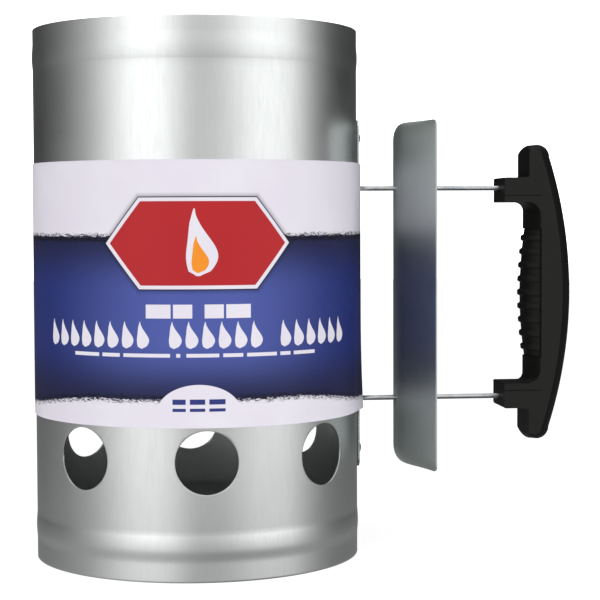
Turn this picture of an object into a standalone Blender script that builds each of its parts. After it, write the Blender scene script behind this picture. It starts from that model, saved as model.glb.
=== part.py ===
"""Chimney charcoal starter: a steel tube with a wire grate, a strap-mounted wire handle and a heat shield.

Metres, +Z up. The handle points along +X and the tube stands on Z = 0. Every piece is modelled round
the tube's axis and parented to one empty, which puts the middle of the whole object's width at X = 0.
"""

import math

import bmesh
import bpy
from mathutils import Matrix, Vector

MM = 0.001
GAP = 0.3 * MM  # clearance between pieces that touch

# Tube
TUBE_RADIUS = 86.36 * MM
TUBE_HEIGHT = 279.4 * MM
SHEET = 0.7 * MM
TUBE_SIDES = 72
BEAD_DEPTH = 0.4 * MM
BEAD_SPAN = 14.5 * MM
BASE_BEAD_Z = 16.5 * MM
RIM_BEAD_Z = TUBE_HEIGHT - 14.0 * MM
LAP_WIDTH = 10.0 * MM
VENT_RADIUS = 15.875 * MM
VENT_Z = 59.6 * MM
VENT_ANGLES = (45, 90, 135, 225, 270, 315)  # degrees from the handle

# Paper sleeve
SLEEVE_BASE = 77.0 * MM
SLEEVE_TOP = 209.1 * MM
FLARE_TOP = 130.0 * MM  # below this height the sleeve lifts off the strap
FLARE = 1.3 * MM
FLARE_ROWS = 4
PAPER = 0.4 * MM
SLEEVE_SIDES = 96
SLEEVE_HOLE_RADIUS = 2.2 * MM

# Handle fittings, all centred on one height
FITTING_Z = 138.7 * MM
WIRE_RADIUS = 1.35 * MM
ARM_RISE = 57.2 * MM  # height of each wire arm above or below FITTING_Z
TENON_RADIUS = 0.95 * MM  # the wire's turned-down end, which goes through the strap and the wall
WIRE_HEAD_RADIUS = 2.2 * MM  # the head pressed on that end inside the tube
WIRE_HEAD = 1.0 * MM
STRAP_LENGTH = 188.2 * MM
STRAP_WIDTH = 16.0 * MM
STRAP = 1.0 * MM
STRAP_CORNER = 5.0 * MM
RIVET_RISE = 84.3 * MM
RIVET_SHANK = 2.0 * MM
RIVET_HEAD = 3.6 * MM
RIVET_DOME = 1.5 * MM
RIVET_TAIL = 3.2 * MM
RIVET_TAIL_HEIGHT = 1.2 * MM

# Heat shield
SHIELD_CROWN_X = 107.9 * MM
SHIELD_HALF_HEIGHT = 92.8 * MM
SHIELD_HALF_WIDTH = 41.0 * MM
SHIELD_THICKNESS = 0.8 * MM
SHIELD_CROWN_RADIUS = 36.0 * MM
SHIELD_SWEEP = math.radians(25)
SHIELD_END_DRAW = 5.5 * MM  # how far the crown is drawn back at the top and bottom edges
SHIELD_END_BAND = 9.5 * MM
SHIELD_CORNER = 3.0 * MM
SHIELD_COLUMNS = 20

# Handle
HANDLE_REACH = 205.7 * MM
HANDLE_HALF_WIDTH = 13.5 * MM
BOW_RADIUS = 242.0 * MM
OUTER_ROUND = 7.3 * MM
SIDE_BULGE = 16.6 * MM  # radius of the handle's rounded front and back
GRIP_X = 180.2 * MM
SIDE_EDGE_X = 187.0 * MM
PANEL_HALF_LENGTH = 35.0 * MM
PANEL_X = 178.3 * MM
PANEL_BOW = 2.7 * MM
PANEL_REACH = 0.87  # share of the half's depth where the ribbed panel ends in a small wall
RIB_DEPTH = 1.4 * MM
RIB_PITCH = 7.5 * MM
RIB_COUNT = 9
RIB_CREST = 0.13  # half the crest's width, and where the pocket's floor starts, in pitches
RIB_FLOOR = 0.28
NUB_X = 180.1 * MM
NUB_RISE = 74.1 * MM
POST_X = 166.4 * MM
POST_TOP = 62.9 * MM
POST_BASE = 49.3 * MM
POST_CORNER = 1.2 * MM
FILLET = 4.5 * MM
FILLET_GAIN = 3.0 * MM
EDGE_INSET = 0.3 * MM
WIRE_BACK_X = 196.5 * MM
WIRE_CORNER = 8.0 * MM
SCREW_PLACES = {
    "upper": (187.4 * MM, 69.0 * MM),
    "middle": (190.1 * MM, 0.0),
    "lower": (187.4 * MM, -69.0 * MM),
}
SCREW_SHANK = 1.3 * MM
SCREW_HEAD = 2.6 * MM
SCREW_HEAD_HEIGHT = 1.8 * MM
SCREW_SEAT = 8.0 * MM  # distance of the head's underside from the parting plane
SCREW_DEPTH = 9.0 * MM

# Grate
GRATE_WIRE = 1.5 * MM
GRATE_RING_RADIUS = 82.5 * MM
GRATE_RING_Z = 90.0 * MM
BAR_COUNT = 9
BAR_PITCH = 17.0 * MM
BAR_END_RADIUS = 83.9 * MM
CLIP_ANGLES = (45, 135, 225, 315)
CLIP_SHEET = 1.0 * MM
CLIP_WIDTH = 8.0 * MM
CLIP_REACH = 79.5 * MM
CLIP_TOP = 100.0 * MM

SLEEVE_REACH = TUBE_RADIUS + GAP + PAPER
AXIS_X = (SLEEVE_REACH - HANDLE_REACH) / 2  # the tube's axis, measured from the middle of the object
STRAP_X = TUBE_RADIUS + GAP  # the strap's inner face
STRAP_FACE_X = STRAP_X + STRAP
LAP_DEPTH = 2.5 * SHEET  # from the tube's outer face to the lap seam's inner face
SHOULDER_X = STRAP_FACE_X + GAP  # where the wire's full thickness meets the strap


# ---------- scene helpers ----------


def clear_scene():
    for obj in list(bpy.data.objects):
        bpy.data.objects.remove(obj, do_unlink=True)


def new_collection(name):
    collection = bpy.data.collections.new(name)
    bpy.context.scene.collection.children.link(collection)
    return collection


def new_material(name, colour, roughness, metallic):
    material = bpy.data.materials.new(name)
    material.use_nodes = True
    shader = material.node_tree.nodes["Principled BSDF"]
    shader.inputs["Base Color"].default_value = (*colour, 1.0)
    shader.inputs["Roughness"].default_value = roughness
    shader.inputs["Metallic"].default_value = metallic
    return material


def add_part(obj, material, sharp_angle=35):
    """Files a finished piece with the parts, under the tube's axis."""
    PARTS.objects.link(obj)
    obj.parent = AXIS
    obj.data.materials.append(material)
    obj.data.shade_smooth()
    obj.data.set_sharp_from_angle(angle=math.radians(sharp_angle))
    return obj


def add_cutter(obj):
    """Files a shape that only cuts or joins others."""
    CUTTERS.objects.link(obj)
    obj.parent = AXIS
    obj.hide_render = True
    obj.display_type = "WIRE"
    return obj


def boolean(target, cutter, operation="DIFFERENCE"):
    modifier = target.modifiers.new(f"{operation.lower()}_{cutter.name}", "BOOLEAN")
    modifier.operation = operation
    modifier.object = cutter
    modifier.solver = "EXACT"


def mesh_object(name, bm, matrix=None):
    """Turns a bmesh into an object that isn't in a collection yet."""
    if matrix is not None:
        bm.transform(matrix)
    mesh = bpy.data.meshes.new(name)
    bm.to_mesh(mesh)
    bm.free()
    return bpy.data.objects.new(name, mesh)


# ---------- shape helpers ----------


def cylinder(name, radius, length, matrix, sides=24):
    bm = bmesh.new()
    bmesh.ops.create_cone(bm, cap_ends=True, segments=sides, radius1=radius, radius2=radius, depth=length)
    return mesh_object(name, bm, matrix)


def box(name, low, high):
    bm = bmesh.new()
    bmesh.ops.create_cube(bm, size=1)
    low, high = Vector(low), Vector(high)
    bmesh.ops.scale(bm, vec=high - low, verts=bm.verts)
    bmesh.ops.translate(bm, vec=(high + low) / 2, verts=bm.verts)
    return mesh_object(name, bm)


def turned(name, profile, steps, closed=False):
    """A solid turned round Z from (radius, height) points that run down its outer side."""
    count = len(profile)
    edges = [(i, i + 1) for i in range(count - 1)]
    if closed:
        edges.append((count - 1, 0))
    mesh = bpy.data.meshes.new(name)
    mesh.from_pydata([(r, 0, z) for r, z in profile], edges, [])
    obj = bpy.data.objects.new(name, mesh)
    screw = obj.modifiers.new("turn", "SCREW")
    screw.steps = screw.render_steps = steps
    screw.use_merge_vertices = True
    screw.merge_threshold = 0.000001
    screw.use_smooth_shade = True
    return obj


def curve_to_mesh(curve_object):
    """Replaces a curve object by a closed mesh object of the same name, not in a collection yet."""
    bpy.context.scene.collection.objects.link(curve_object)
    depsgraph = bpy.context.evaluated_depsgraph_get()
    mesh = bpy.data.meshes.new_from_object(curve_object.evaluated_get(depsgraph))
    bm = bmesh.new()
    bm.from_mesh(mesh)
    bmesh.ops.remove_doubles(bm, verts=bm.verts, dist=0.000001)
    bm.to_mesh(mesh)
    bm.free()
    name = curve_object.name
    bpy.data.objects.remove(curve_object)
    return bpy.data.objects.new(name, mesh)


def wire(name, points, radius, shares=None):
    """A round wire along points. shares holds each point's part of the radius, where that varies."""
    curve = bpy.data.curves.new(name, "CURVE")
    curve.dimensions = "3D"
    curve.bevel_depth = radius
    curve.bevel_resolution = 2
    curve.use_fill_caps = True
    spline = curve.splines.new("POLY")
    spline.points.add(len(points) - 1)
    for spline_point, point, share in zip(spline.points, points, shares or [1.0] * len(points)):
        spline_point.co = (*point, 1)
        spline_point.radius = share
    return curve_to_mesh(bpy.data.objects.new(name, curve))


def plate(name, outline, thickness):
    """A flat plate in the XY plane with the given outline, centred on Z = 0."""
    curve = bpy.data.curves.new(name, "CURVE")
    curve.dimensions = "2D"
    curve.fill_mode = "BOTH"
    curve.extrude = thickness / 2
    spline = curve.splines.new("POLY")
    spline.points.add(len(outline) - 1)
    spline.use_cyclic_u = True
    for spline_point, (x, y) in zip(spline.points, outline):
        spline_point.co = (x, y, 0, 1)
    return curve_to_mesh(bpy.data.objects.new(name, curve))


def arc(centre_x, centre_z, radius, start, end, steps):
    """Points of an arc as (x, z), from one angle to another, in degrees."""
    angles = [math.radians(start + (end - start) * i / steps) for i in range(steps + 1)]
    return [(centre_x + radius * math.cos(a), centre_z + radius * math.sin(a)) for a in angles]


def rounded_rectangle(half_width, half_height, radius, steps=5):
    points = []
    for quarter, (sx, sy) in enumerate(((1, 1), (-1, 1), (-1, -1), (1, -1))):
        centre = (sx * (half_width - radius), sy * (half_height - radius))
        points += arc(*centre, radius, 90 * quarter, 90 * quarter + 90, steps)
    return points


def along_x(x, y, z):
    """Matrix that lays a Z-axis shape along +X at a place."""
    return Matrix.Translation((x, y, z)) @ Matrix.Rotation(math.pi / 2, 4, "Y")


def facing_x(x):
    """Matrix that stands a flat outline up at FITTING_Z, its own X along Y and its own Y along Z."""
    return Matrix(((0, 0, 1, x), (1, 0, 0, 0), (0, 1, 0, FITTING_Z), (0, 0, 0, 1)))


# ---------- tube ----------


def bead_bulge(z):
    """How far the wall stands out at height z: a raised cosine over each bead."""
    for centre in (BASE_BEAD_Z, RIM_BEAD_Z):
        share = abs(z - centre) / (BEAD_SPAN / 2)
        if share < 1:
            return BEAD_DEPTH * (1 + math.cos(math.pi * share)) / 2
    return 0.0


def build_body():
    bead_levels = [c + s * BEAD_SPAN / 2 for c in (BASE_BEAD_Z, RIM_BEAD_Z) for s in (-1, -0.5, 0, 0.5, 1)]
    levels = sorted([0.0, TUBE_HEIGHT] + bead_levels)
    outer = [(TUBE_RADIUS + bead_bulge(z), z) for z in reversed(levels)]
    inner = [(TUBE_RADIUS - SHEET + bead_bulge(z), z) for z in levels]
    body = turned("chimney_body", outer + inner, TUBE_SIDES, closed=True)
    lap_low = (TUBE_RADIUS - LAP_DEPTH, -LAP_WIDTH / 2, 0)
    lap_high = (TUBE_RADIUS - 0.3 * SHEET, LAP_WIDTH / 2, TUBE_HEIGHT)
    boolean(body, add_cutter(box("lap_seam", lap_low, lap_high)), "UNION")
    for angle in VENT_ANGLES:
        turn = Matrix.Rotation(math.radians(angle), 4, "Z")
        place = turn @ along_x(TUBE_RADIUS, 0, VENT_Z)
        boolean(body, add_cutter(cylinder(f"vent_cut_{angle}", VENT_RADIUS, 20 * MM, place, sides=36)))
    return add_part(body, GALVANISED)


# ---------- paper sleeve ----------


def sleeve_outline(lift):
    """The sleeve's inner outline: a circle that leaves its round to pass over the strap, lift clear of it."""
    radius = TUBE_RADIUS + GAP
    corner = Vector((STRAP_FACE_X + GAP + lift, STRAP_WIDTH / 2 + GAP))
    corner_angle = math.atan2(corner.y, corner.x)
    tangent_angle = corner_angle + math.acos(radius / corner.length)
    sweep = 2 * math.pi - 2 * tangent_angle
    angles = [tangent_angle + sweep * i / SLEEVE_SIDES for i in range(SLEEVE_SIDES + 1)]
    points = [(radius * math.cos(a), radius * math.sin(a)) for a in angles]
    return points + [(corner.x, -corner.y), (corner.x, corner.y)]


def sleeve_levels():
    """(height, lift off the strap) of each row of the sleeve, from its base."""
    levels = []
    for i in range(FLARE_ROWS):
        share = i / FLARE_ROWS
        levels.append((SLEEVE_BASE + share * (FLARE_TOP - SLEEVE_BASE), FLARE * (1 - share) ** 2))
    return levels + [(FLARE_TOP, 0.0), (SLEEVE_TOP, 0.0)]


def build_sleeve():
    bm = bmesh.new()
    loops = []
    for height, lift in sleeve_levels():
        verts = [bm.verts.new((x, y, height)) for x, y in sleeve_outline(lift)]
        loops.append([bm.edges.new((v, verts[(i + 1) % len(verts)])) for i, v in enumerate(verts)])
    for lower, upper in zip(loops, loops[1:]):
        bmesh.ops.bridge_loops(bm, edges=lower + upper)
    bmesh.ops.recalc_face_normals(bm, faces=bm.faces)
    sleeve = mesh_object("label_sleeve", bm)
    shell = sleeve.modifiers.new("paper", "SOLIDIFY")
    shell.thickness = PAPER
    shell.offset = 1
    for side in (1, -1):
        place = along_x(SLEEVE_REACH + 3 * MM, 0, FITTING_Z + side * ARM_RISE)
        boolean(sleeve, add_cutter(cylinder(f"sleeve_hole_cut_{side}", SLEEVE_HOLE_RADIUS, 12 * MM, place)))
    return add_part(sleeve, PRINTED_PAPER)


# ---------- strap and rivets ----------


def build_strap():
    strap = plate("mounting_strap", rounded_rectangle(STRAP_WIDTH / 2, STRAP_LENGTH / 2, STRAP_CORNER), STRAP)
    strap.data.transform(facing_x(STRAP_X + STRAP / 2))
    return add_part(strap, ZINC_PLATED)


def rivet_profile():
    """A rivet along Z with Z = 0 at the underside of its domed head."""
    dome_radius = (RIVET_HEAD**2 + RIVET_DOME**2) / (2 * RIVET_DOME)
    edge_angle = math.degrees(math.asin(RIVET_HEAD / dome_radius))
    dome = [(z, x) for x, z in arc(RIVET_DOME - dome_radius, 0, dome_radius, 0, edge_angle, 6)]
    grip = STRAP + 2 * GAP + LAP_DEPTH + GAP
    tail = -grip - RIVET_TAIL_HEIGHT
    shank = [(RIVET_SHANK, 0.0), (RIVET_SHANK, -grip)]
    clinch = [(RIVET_TAIL, -grip), (RIVET_TAIL, (tail - grip) / 2), (0.6 * RIVET_TAIL, tail), (0.0, tail)]
    return dome + shank + clinch


def build_rivet(name, side, body, strap):
    z = FITTING_Z + side * RIVET_RISE
    rivet = turned(name, rivet_profile(), 20)
    rivet.matrix_local = along_x(STRAP_FACE_X + GAP, 0, z)
    place = along_x(TUBE_RADIUS, 0, z)
    hole = add_cutter(cylinder(f"{name}_cut", RIVET_SHANK + GAP, 20 * MM, place, sides=20))
    boolean(body, hole)
    boolean(strap, hole)
    return add_part(rivet, ZINC_PLATED)


# ---------- handle wire ----------


def wire_arm():
    """The upper arm and corner of the wire's centreline, as (x, rise) from FITTING_Z."""
    corner = arc(WIRE_BACK_X - WIRE_CORNER, ARM_RISE - WIRE_CORNER, WIRE_CORNER, 90, 0, 6)
    return [(SHOULDER_X, ARM_RISE), (SHIELD_CROWN_X, ARM_RISE)] + corner


def wire_end():
    """(x, radius) along the end of an arm: a head inside the tube, then a thin tenon through the wall."""
    head_back = TUBE_RADIUS - LAP_DEPTH - GAP
    tip = head_back - WIRE_HEAD
    return [
        (tip, 0.6 * WIRE_HEAD_RADIUS),
        (tip + 0.3 * WIRE_HEAD, WIRE_HEAD_RADIUS),
        (head_back - 0.02 * MM, WIRE_HEAD_RADIUS),
        (head_back, TENON_RADIUS),
        (SHOULDER_X - 0.02 * MM, TENON_RADIUS),
    ]


def build_wire(body, strap):
    upper = [(x, ARM_RISE) for x, _ in wire_end()] + wire_arm()
    shares = [radius / WIRE_RADIUS for _, radius in wire_end()] + [1.0] * len(wire_arm())
    points = [(x, 0, FITTING_Z + rise) for x, rise in upper]
    points += [(x, 0, FITTING_Z - rise) for x, rise in reversed(upper)]
    handle_wire = wire("handle_wire", points, WIRE_RADIUS, shares + shares[::-1])
    for side in (1, -1):
        place = along_x(TUBE_RADIUS, 0, FITTING_Z + side * ARM_RISE)
        hole = add_cutter(cylinder(f"tenon_cut_{side}", TENON_RADIUS + GAP, 20 * MM, place, sides=16))
        boolean(body, hole)
        boolean(strap, hole)
    return add_part(handle_wire, ZINC_PLATED)


# ---------- heat shield ----------


def shield_section(y):
    """The shield's sweep towards the handle, y away from its middle: a round crown and straight wings."""
    y = abs(y)
    crown_end = SHIELD_CROWN_RADIUS * math.sin(SHIELD_SWEEP)
    if y <= crown_end:
        return SHIELD_CROWN_RADIUS - math.sqrt(SHIELD_CROWN_RADIUS**2 - y**2)
    return SHIELD_CROWN_RADIUS * (1 - math.cos(SHIELD_SWEEP)) + (y - crown_end) * math.tan(SHIELD_SWEEP)


def shield_end_draw(y, z):
    """How far the crown is pressed back near the top and bottom edges, fading out towards the wings."""
    from_end = (SHIELD_HALF_HEIGHT - abs(z)) / SHIELD_END_BAND
    if from_end >= 1:
        return 0.0
    return SHIELD_END_DRAW * (1 - math.sqrt(1 - (1 - from_end) ** 2)) * (1 - (y / SHIELD_HALF_WIDTH) ** 2)


def build_shield():
    end_rows = [SHIELD_HALF_HEIGHT - SHIELD_END_BAND * share for share in (0, 0.08, 0.25, 0.55, 1)]
    rows = [-z for z in end_rows] + end_rows[::-1]
    bm = bmesh.new()
    bmesh.ops.create_grid(bm, x_segments=SHIELD_COLUMNS, y_segments=len(rows) - 1, size=1)
    for vert in bm.verts:
        row = rows[round((vert.co.y + 1) / 2 * (len(rows) - 1))]
        y = vert.co.x * SHIELD_HALF_WIDTH
        x = SHIELD_CROWN_X + shield_section(y) + shield_end_draw(y, row)
        vert.co = (x, y, FITTING_Z + row)
    bmesh.ops.recalc_face_normals(bm, faces=bm.faces)
    shield = mesh_object("heat_shield", bm)
    if shield.data.polygons[0].normal.x > 0:
        shield.data.flip_normals()
    shell = shield.modifiers.new("sheet", "SOLIDIFY")
    shell.thickness = SHIELD_THICKNESS
    shell.offset = -1
    outline = rounded_rectangle(SHIELD_HALF_WIDTH, SHIELD_HALF_HEIGHT, SHIELD_CORNER)
    trim = plate("shield_trim", outline, 60 * MM)
    trim.data.transform(facing_x(SHIELD_CROWN_X + 10 * MM))
    boolean(shield, add_cutter(trim), "INTERSECT")
    for side in (1, -1):
        place = along_x(SHIELD_CROWN_X, 0, FITTING_Z + side * ARM_RISE)
        hole = cylinder(f"shield_hole_cut_{side}", WIRE_RADIUS + GAP, 12 * MM, place, sides=16)
        boolean(shield, add_cutter(hole))
    return add_part(shield, GALVANISED)


# ---------- handle ----------


def bow_x(rise, roundness):
    """The handle's bowed outer side."""
    sagitta = BOW_RADIUS - math.sqrt(BOW_RADIUS**2 - rise**2)
    return HANDLE_REACH - sagitta - OUTER_ROUND * roundness


def side_roundness(share):
    """0 at the parting plane and 1 at the side face, along an arc."""
    full = SIDE_BULGE - math.sqrt(SIDE_BULGE**2 - HANDLE_HALF_WIDTH**2)
    return (SIDE_BULGE - math.sqrt(SIDE_BULGE**2 - (share * HANDLE_HALF_WIDTH) ** 2)) / full


def panel_x(rise, share):
    """The finger side's panel: a bowed floor with ribs, which ends in a small wall near the side face."""
    if share > PANEL_REACH:
        return SIDE_EDGE_X
    from_rib = abs(rise / RIB_PITCH - round(rise / RIB_PITCH))
    if abs(rise) > RIB_COUNT / 2 * RIB_PITCH:
        from_rib = 0.5
    floor = PANEL_X + PANEL_BOW * (rise / PANEL_HALF_LENGTH) ** 2
    floor += (SIDE_EDGE_X - floor) * side_roundness(share / PANEL_REACH)
    slope = (from_rib - RIB_CREST) / (RIB_FLOOR - RIB_CREST)
    return floor - RIB_DEPTH * (1 - min(max(slope, 0.0), 1.0))


def panel_rises():
    """The panel's end and the corners of its ribs, from the upper end down to just above the middle."""
    rises = [PANEL_HALF_LENGTH + 0.15 * MM, PANEL_HALF_LENGTH]
    for rib in range(RIB_COUNT // 2, -1, -1):
        corners = [RIB_PITCH * (rib + offset) for offset in (RIB_FLOOR, RIB_CREST, -RIB_CREST, -RIB_FLOOR)]
        rises += [corner for corner in corners if corner > 0]
    return rises


def grip_x(rise, share):
    if abs(rise) <= PANEL_HALF_LENGTH:
        return panel_x(rise, share)
    return GRIP_X + (SIDE_EDGE_X - GRIP_X) * side_roundness(share)


def nub_outline(share):
    """The knob at the handle's end, with a large round outside and a small one on its straight inner side."""
    radius = (bow_x(NUB_RISE, side_roundness(share)) - NUB_X) / 2
    corner = 0.45 * radius
    points = arc(NUB_X + radius, NUB_RISE, radius, 0, 90, 5)
    points += arc(NUB_X + corner, NUB_RISE + radius - 0.4 * MM - corner, corner, 100, 180, 3)
    return points + [(NUB_X, POST_TOP)]


def handle_outline(share):
    """The side outline as (x, rise), at a share of the way from the parting plane to the side face."""
    roundness = side_roundness(share)
    fillet = FILLET + FILLET_GAIN * roundness
    grip_edge = GRIP_X + (SIDE_EDGE_X - GRIP_X) * roundness
    upper = [(bow_x(NUB_RISE * i / 8, roundness), NUB_RISE * i / 8) for i in range(1, 8)]
    upper += nub_outline(share)
    upper += arc(POST_X + POST_CORNER, POST_TOP - POST_CORNER, POST_CORNER, 90, 180, 2)
    upper += [(POST_X, POST_BASE)]
    upper += arc(grip_edge - fillet, POST_BASE - fillet, fillet, 90, 0, 4)
    upper += [(grip_x(rise, share), rise) for rise in panel_rises()]
    middle_inner = [(grip_x(0, share), 0)]
    middle_outer = [(bow_x(0, roundness), 0)]
    return middle_outer + upper + middle_inner + [(x, -rise) for x, rise in reversed(upper)]


def inset(points, distance):
    """Moves each point of an anticlockwise loop inwards along the mean normal of its two edges."""
    moved = []
    for i, point in enumerate(points):
        before, after = Vector(points[i - 1]), Vector(points[(i + 1) % len(points)])
        here = Vector(point)
        edge = (here - before).normalized() + (after - here).normalized()
        normal = Vector((-edge.y, edge.x)).normalized()
        moved.append(tuple(here + normal * distance))
    return moved


def handle_sections():
    """(depth from the parting plane, outline) of each section of a handle half."""
    sections = [(GAP / 2, handle_outline(0.0))]
    for share in (0.3, 0.5, 0.7, PANEL_REACH, PANEL_REACH + 0.01, 0.97):
        sections.append((share * HANDLE_HALF_WIDTH, handle_outline(share)))
    sections.append((HANDLE_HALF_WIDTH, inset(handle_outline(1.0), EDGE_INSET)))
    return sections


def build_handle_half(name, side):
    """A lofted half shell, with side = 1 at +Y and -1 at -Y, and a channel for the wire."""
    bm = bmesh.new()
    loops = []
    for depth, outline in handle_sections():
        verts = [bm.verts.new((x, side * depth, FITTING_Z + rise)) for x, rise in outline]
        loops.append([bm.edges.new((v, verts[(i + 1) % len(verts)])) for i, v in enumerate(verts)])
    for lower, upper in zip(loops, loops[1:]):
        bmesh.ops.bridge_loops(bm, edges=lower + upper)
    for loop in (loops[0], loops[-1]):
        bmesh.ops.contextual_create(bm, geom=loop)
    bmesh.ops.recalc_face_normals(bm, faces=bm.faces)
    half = mesh_object(name, bm)
    boolean(half, WIRE_CHANNEL)
    return add_part(half, BLACK_PLASTIC, sharp_angle=30)


def build_wire_channel():
    upper = [(POST_X - 10 * MM, ARM_RISE)] + wire_arm()[2:]
    points = [(x, 0, FITTING_Z + rise) for x, rise in upper]
    points += [(x, 0, FITTING_Z - rise) for x, rise in reversed(upper)]
    return add_cutter(wire("wire_channel_cut", points, WIRE_RADIUS + GAP))


def screw_profile():
    head_top = SCREW_HEAD_HEIGHT
    return [
        (0.0, head_top),
        (0.7 * SCREW_HEAD, head_top),
        (SCREW_HEAD, 0.5 * head_top),
        (SCREW_HEAD, 0.0),
        (SCREW_SHANK, 0.0),
        (SCREW_SHANK, 1.5 * SCREW_SHANK - SCREW_SEAT - SCREW_DEPTH),
        (0.3 * SCREW_SHANK, -SCREW_SEAT - SCREW_DEPTH),
        (0.0, -SCREW_SEAT - SCREW_DEPTH),
    ]


def build_screw(name, place, near_half, far_half):
    """A screw driven towards -Y, its counterbore in the far half and its blind hole in the near one."""
    x, rise = place
    to_far_side = Matrix.Rotation(-math.pi / 2, 4, "X")
    centre = Vector((x, 0, FITTING_Z + rise))
    screw = turned(name, screw_profile(), 16)
    screw.matrix_local = Matrix.Translation(centre + Vector((0, SCREW_SEAT + GAP, 0))) @ to_far_side
    hole_length = SCREW_DEPTH + 1 * MM
    blind_place = Matrix.Translation(centre) @ to_far_side
    blind = cylinder(f"{name}_blind_cut", SCREW_SHANK + GAP, 2 * hole_length, blind_place, sides=16)
    boolean(near_half, add_cutter(blind))
    boolean(far_half, blind)
    seat_place = Matrix.Translation(centre + Vector((0, SCREW_SEAT + 10 * MM, 0))) @ to_far_side
    counterbore = cylinder(f"{name}_seat_cut", SCREW_HEAD + GAP, 20 * MM, seat_place, 20)
    boolean(far_half, add_cutter(counterbore))
    return add_part(screw, ZINC_PLATED)


# ---------- grate ----------


def build_grate_ring():
    circle = arc(GRATE_RING_RADIUS, GRATE_RING_Z, GRATE_WIRE, 90, -225, 7)
    return add_part(turned("grate_ring", circle, 48, closed=True), GRATE_STEEL)


def build_grate_bars():
    height = GRATE_RING_Z + 2 * GRATE_WIRE + GAP
    along_y = Matrix.Rotation(math.pi / 2, 4, "X")
    for i in range(BAR_COUNT):
        x = (i - (BAR_COUNT - 1) / 2) * BAR_PITCH
        length = 2 * math.sqrt(BAR_END_RADIUS**2 - x**2)
        place = Matrix.Translation((x, 0, height)) @ along_y
        add_part(cylinder(f"grate_bar_{i + 1}", GRATE_WIRE, length, place, sides=10), GRATE_STEEL)


def build_grate_clips():
    """Folded clips: a leg on the wall, and two arms that close above and below the ring."""
    wall = TUBE_RADIUS - SHEET - GAP
    leg = wall - CLIP_SHEET
    ring_low = GRATE_RING_Z - GRATE_WIRE - GAP
    ring_high = GRATE_RING_Z + GRATE_WIRE + GAP
    outline = [
        (wall, ring_low - CLIP_SHEET),
        (wall, CLIP_TOP),
        (leg, CLIP_TOP),
        (leg, ring_high + CLIP_SHEET),
        (CLIP_REACH, ring_high + CLIP_SHEET),
        (CLIP_REACH, ring_high),
        (leg, ring_high),
        (leg, ring_low),
        (CLIP_REACH, ring_low),
        (CLIP_REACH, ring_low - CLIP_SHEET),
    ]
    stand_up = Matrix.Rotation(math.pi / 2, 4, "X")
    for i, angle in enumerate(CLIP_ANGLES):
        clip = plate(f"grate_clip_{i + 1}", outline, CLIP_WIDTH)
        clip.data.transform(Matrix.Rotation(math.radians(angle), 4, "Z") @ stand_up)
        add_part(clip, GALVANISED)


# ---------- assembly ----------

clear_scene()
PARTS = new_collection("chimney_charcoal_starter")
CUTTERS = new_collection("cutters")
AXIS = bpy.data.objects.new("tube_axis", None)
AXIS.location = (AXIS_X, 0, 0)
PARTS.objects.link(AXIS)

GALVANISED = new_material("galvanised_steel", (0.73, 0.74, 0.75), 0.32, 1.0)
ZINC_PLATED = new_material("zinc_plated_steel", (0.66, 0.67, 0.68), 0.25, 1.0)
GRATE_STEEL = new_material("grate_steel", (0.40, 0.41, 0.42), 0.4, 1.0)
PRINTED_PAPER = new_material("printed_paper", (0.10, 0.14, 0.42), 0.45, 0.0)
BLACK_PLASTIC = new_material("black_plastic", (0.012, 0.012, 0.012), 0.45, 0.0)

chimney_body = build_body()
build_sleeve()
mounting_strap = build_strap()
build_rivet("strap_rivet_upper", 1, chimney_body, mounting_strap)
build_rivet("strap_rivet_lower", -1, chimney_body, mounting_strap)
build_wire(chimney_body, mounting_strap)
build_shield()
WIRE_CHANNEL = build_wire_channel()
handle_near = build_handle_half("handle_half_near", -1)
handle_far = build_handle_half("handle_half_far", 1)
for screw_name, screw_place in SCREW_PLACES.items():
    build_screw(f"handle_screw_{screw_name}", screw_place, handle_near, handle_far)
build_grate_ring()
build_grate_bars()
build_grate_clips()
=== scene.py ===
"""The looks of the chimney charcoal starter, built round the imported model.

Metres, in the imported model's frame: +Z up, the handle along +X, and the tube standing on Z = 0.
"""

import math

import bmesh
import bpy
from mathutils import Matrix, Vector, noise


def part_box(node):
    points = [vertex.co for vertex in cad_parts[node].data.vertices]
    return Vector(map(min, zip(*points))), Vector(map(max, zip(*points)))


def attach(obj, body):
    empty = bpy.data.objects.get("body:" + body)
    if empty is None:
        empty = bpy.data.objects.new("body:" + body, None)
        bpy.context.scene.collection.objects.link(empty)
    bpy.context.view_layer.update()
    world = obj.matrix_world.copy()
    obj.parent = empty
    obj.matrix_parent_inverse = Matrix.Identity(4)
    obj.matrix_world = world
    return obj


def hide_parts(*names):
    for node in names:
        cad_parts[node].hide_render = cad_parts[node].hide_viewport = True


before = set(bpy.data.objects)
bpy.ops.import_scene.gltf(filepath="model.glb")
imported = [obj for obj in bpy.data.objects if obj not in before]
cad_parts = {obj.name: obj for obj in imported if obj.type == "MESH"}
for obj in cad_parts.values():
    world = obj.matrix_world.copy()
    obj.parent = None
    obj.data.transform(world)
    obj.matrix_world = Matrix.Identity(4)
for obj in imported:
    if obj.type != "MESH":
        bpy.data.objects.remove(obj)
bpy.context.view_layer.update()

MM = 0.001
GAP = 0.3 * MM  # clearance between pieces that touch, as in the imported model
SHARP_ANGLE = 38  # degrees: a steeper edge is shaded sharp
BEVEL_ANGLE = 40  # degrees: a steeper edge is rounded

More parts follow.
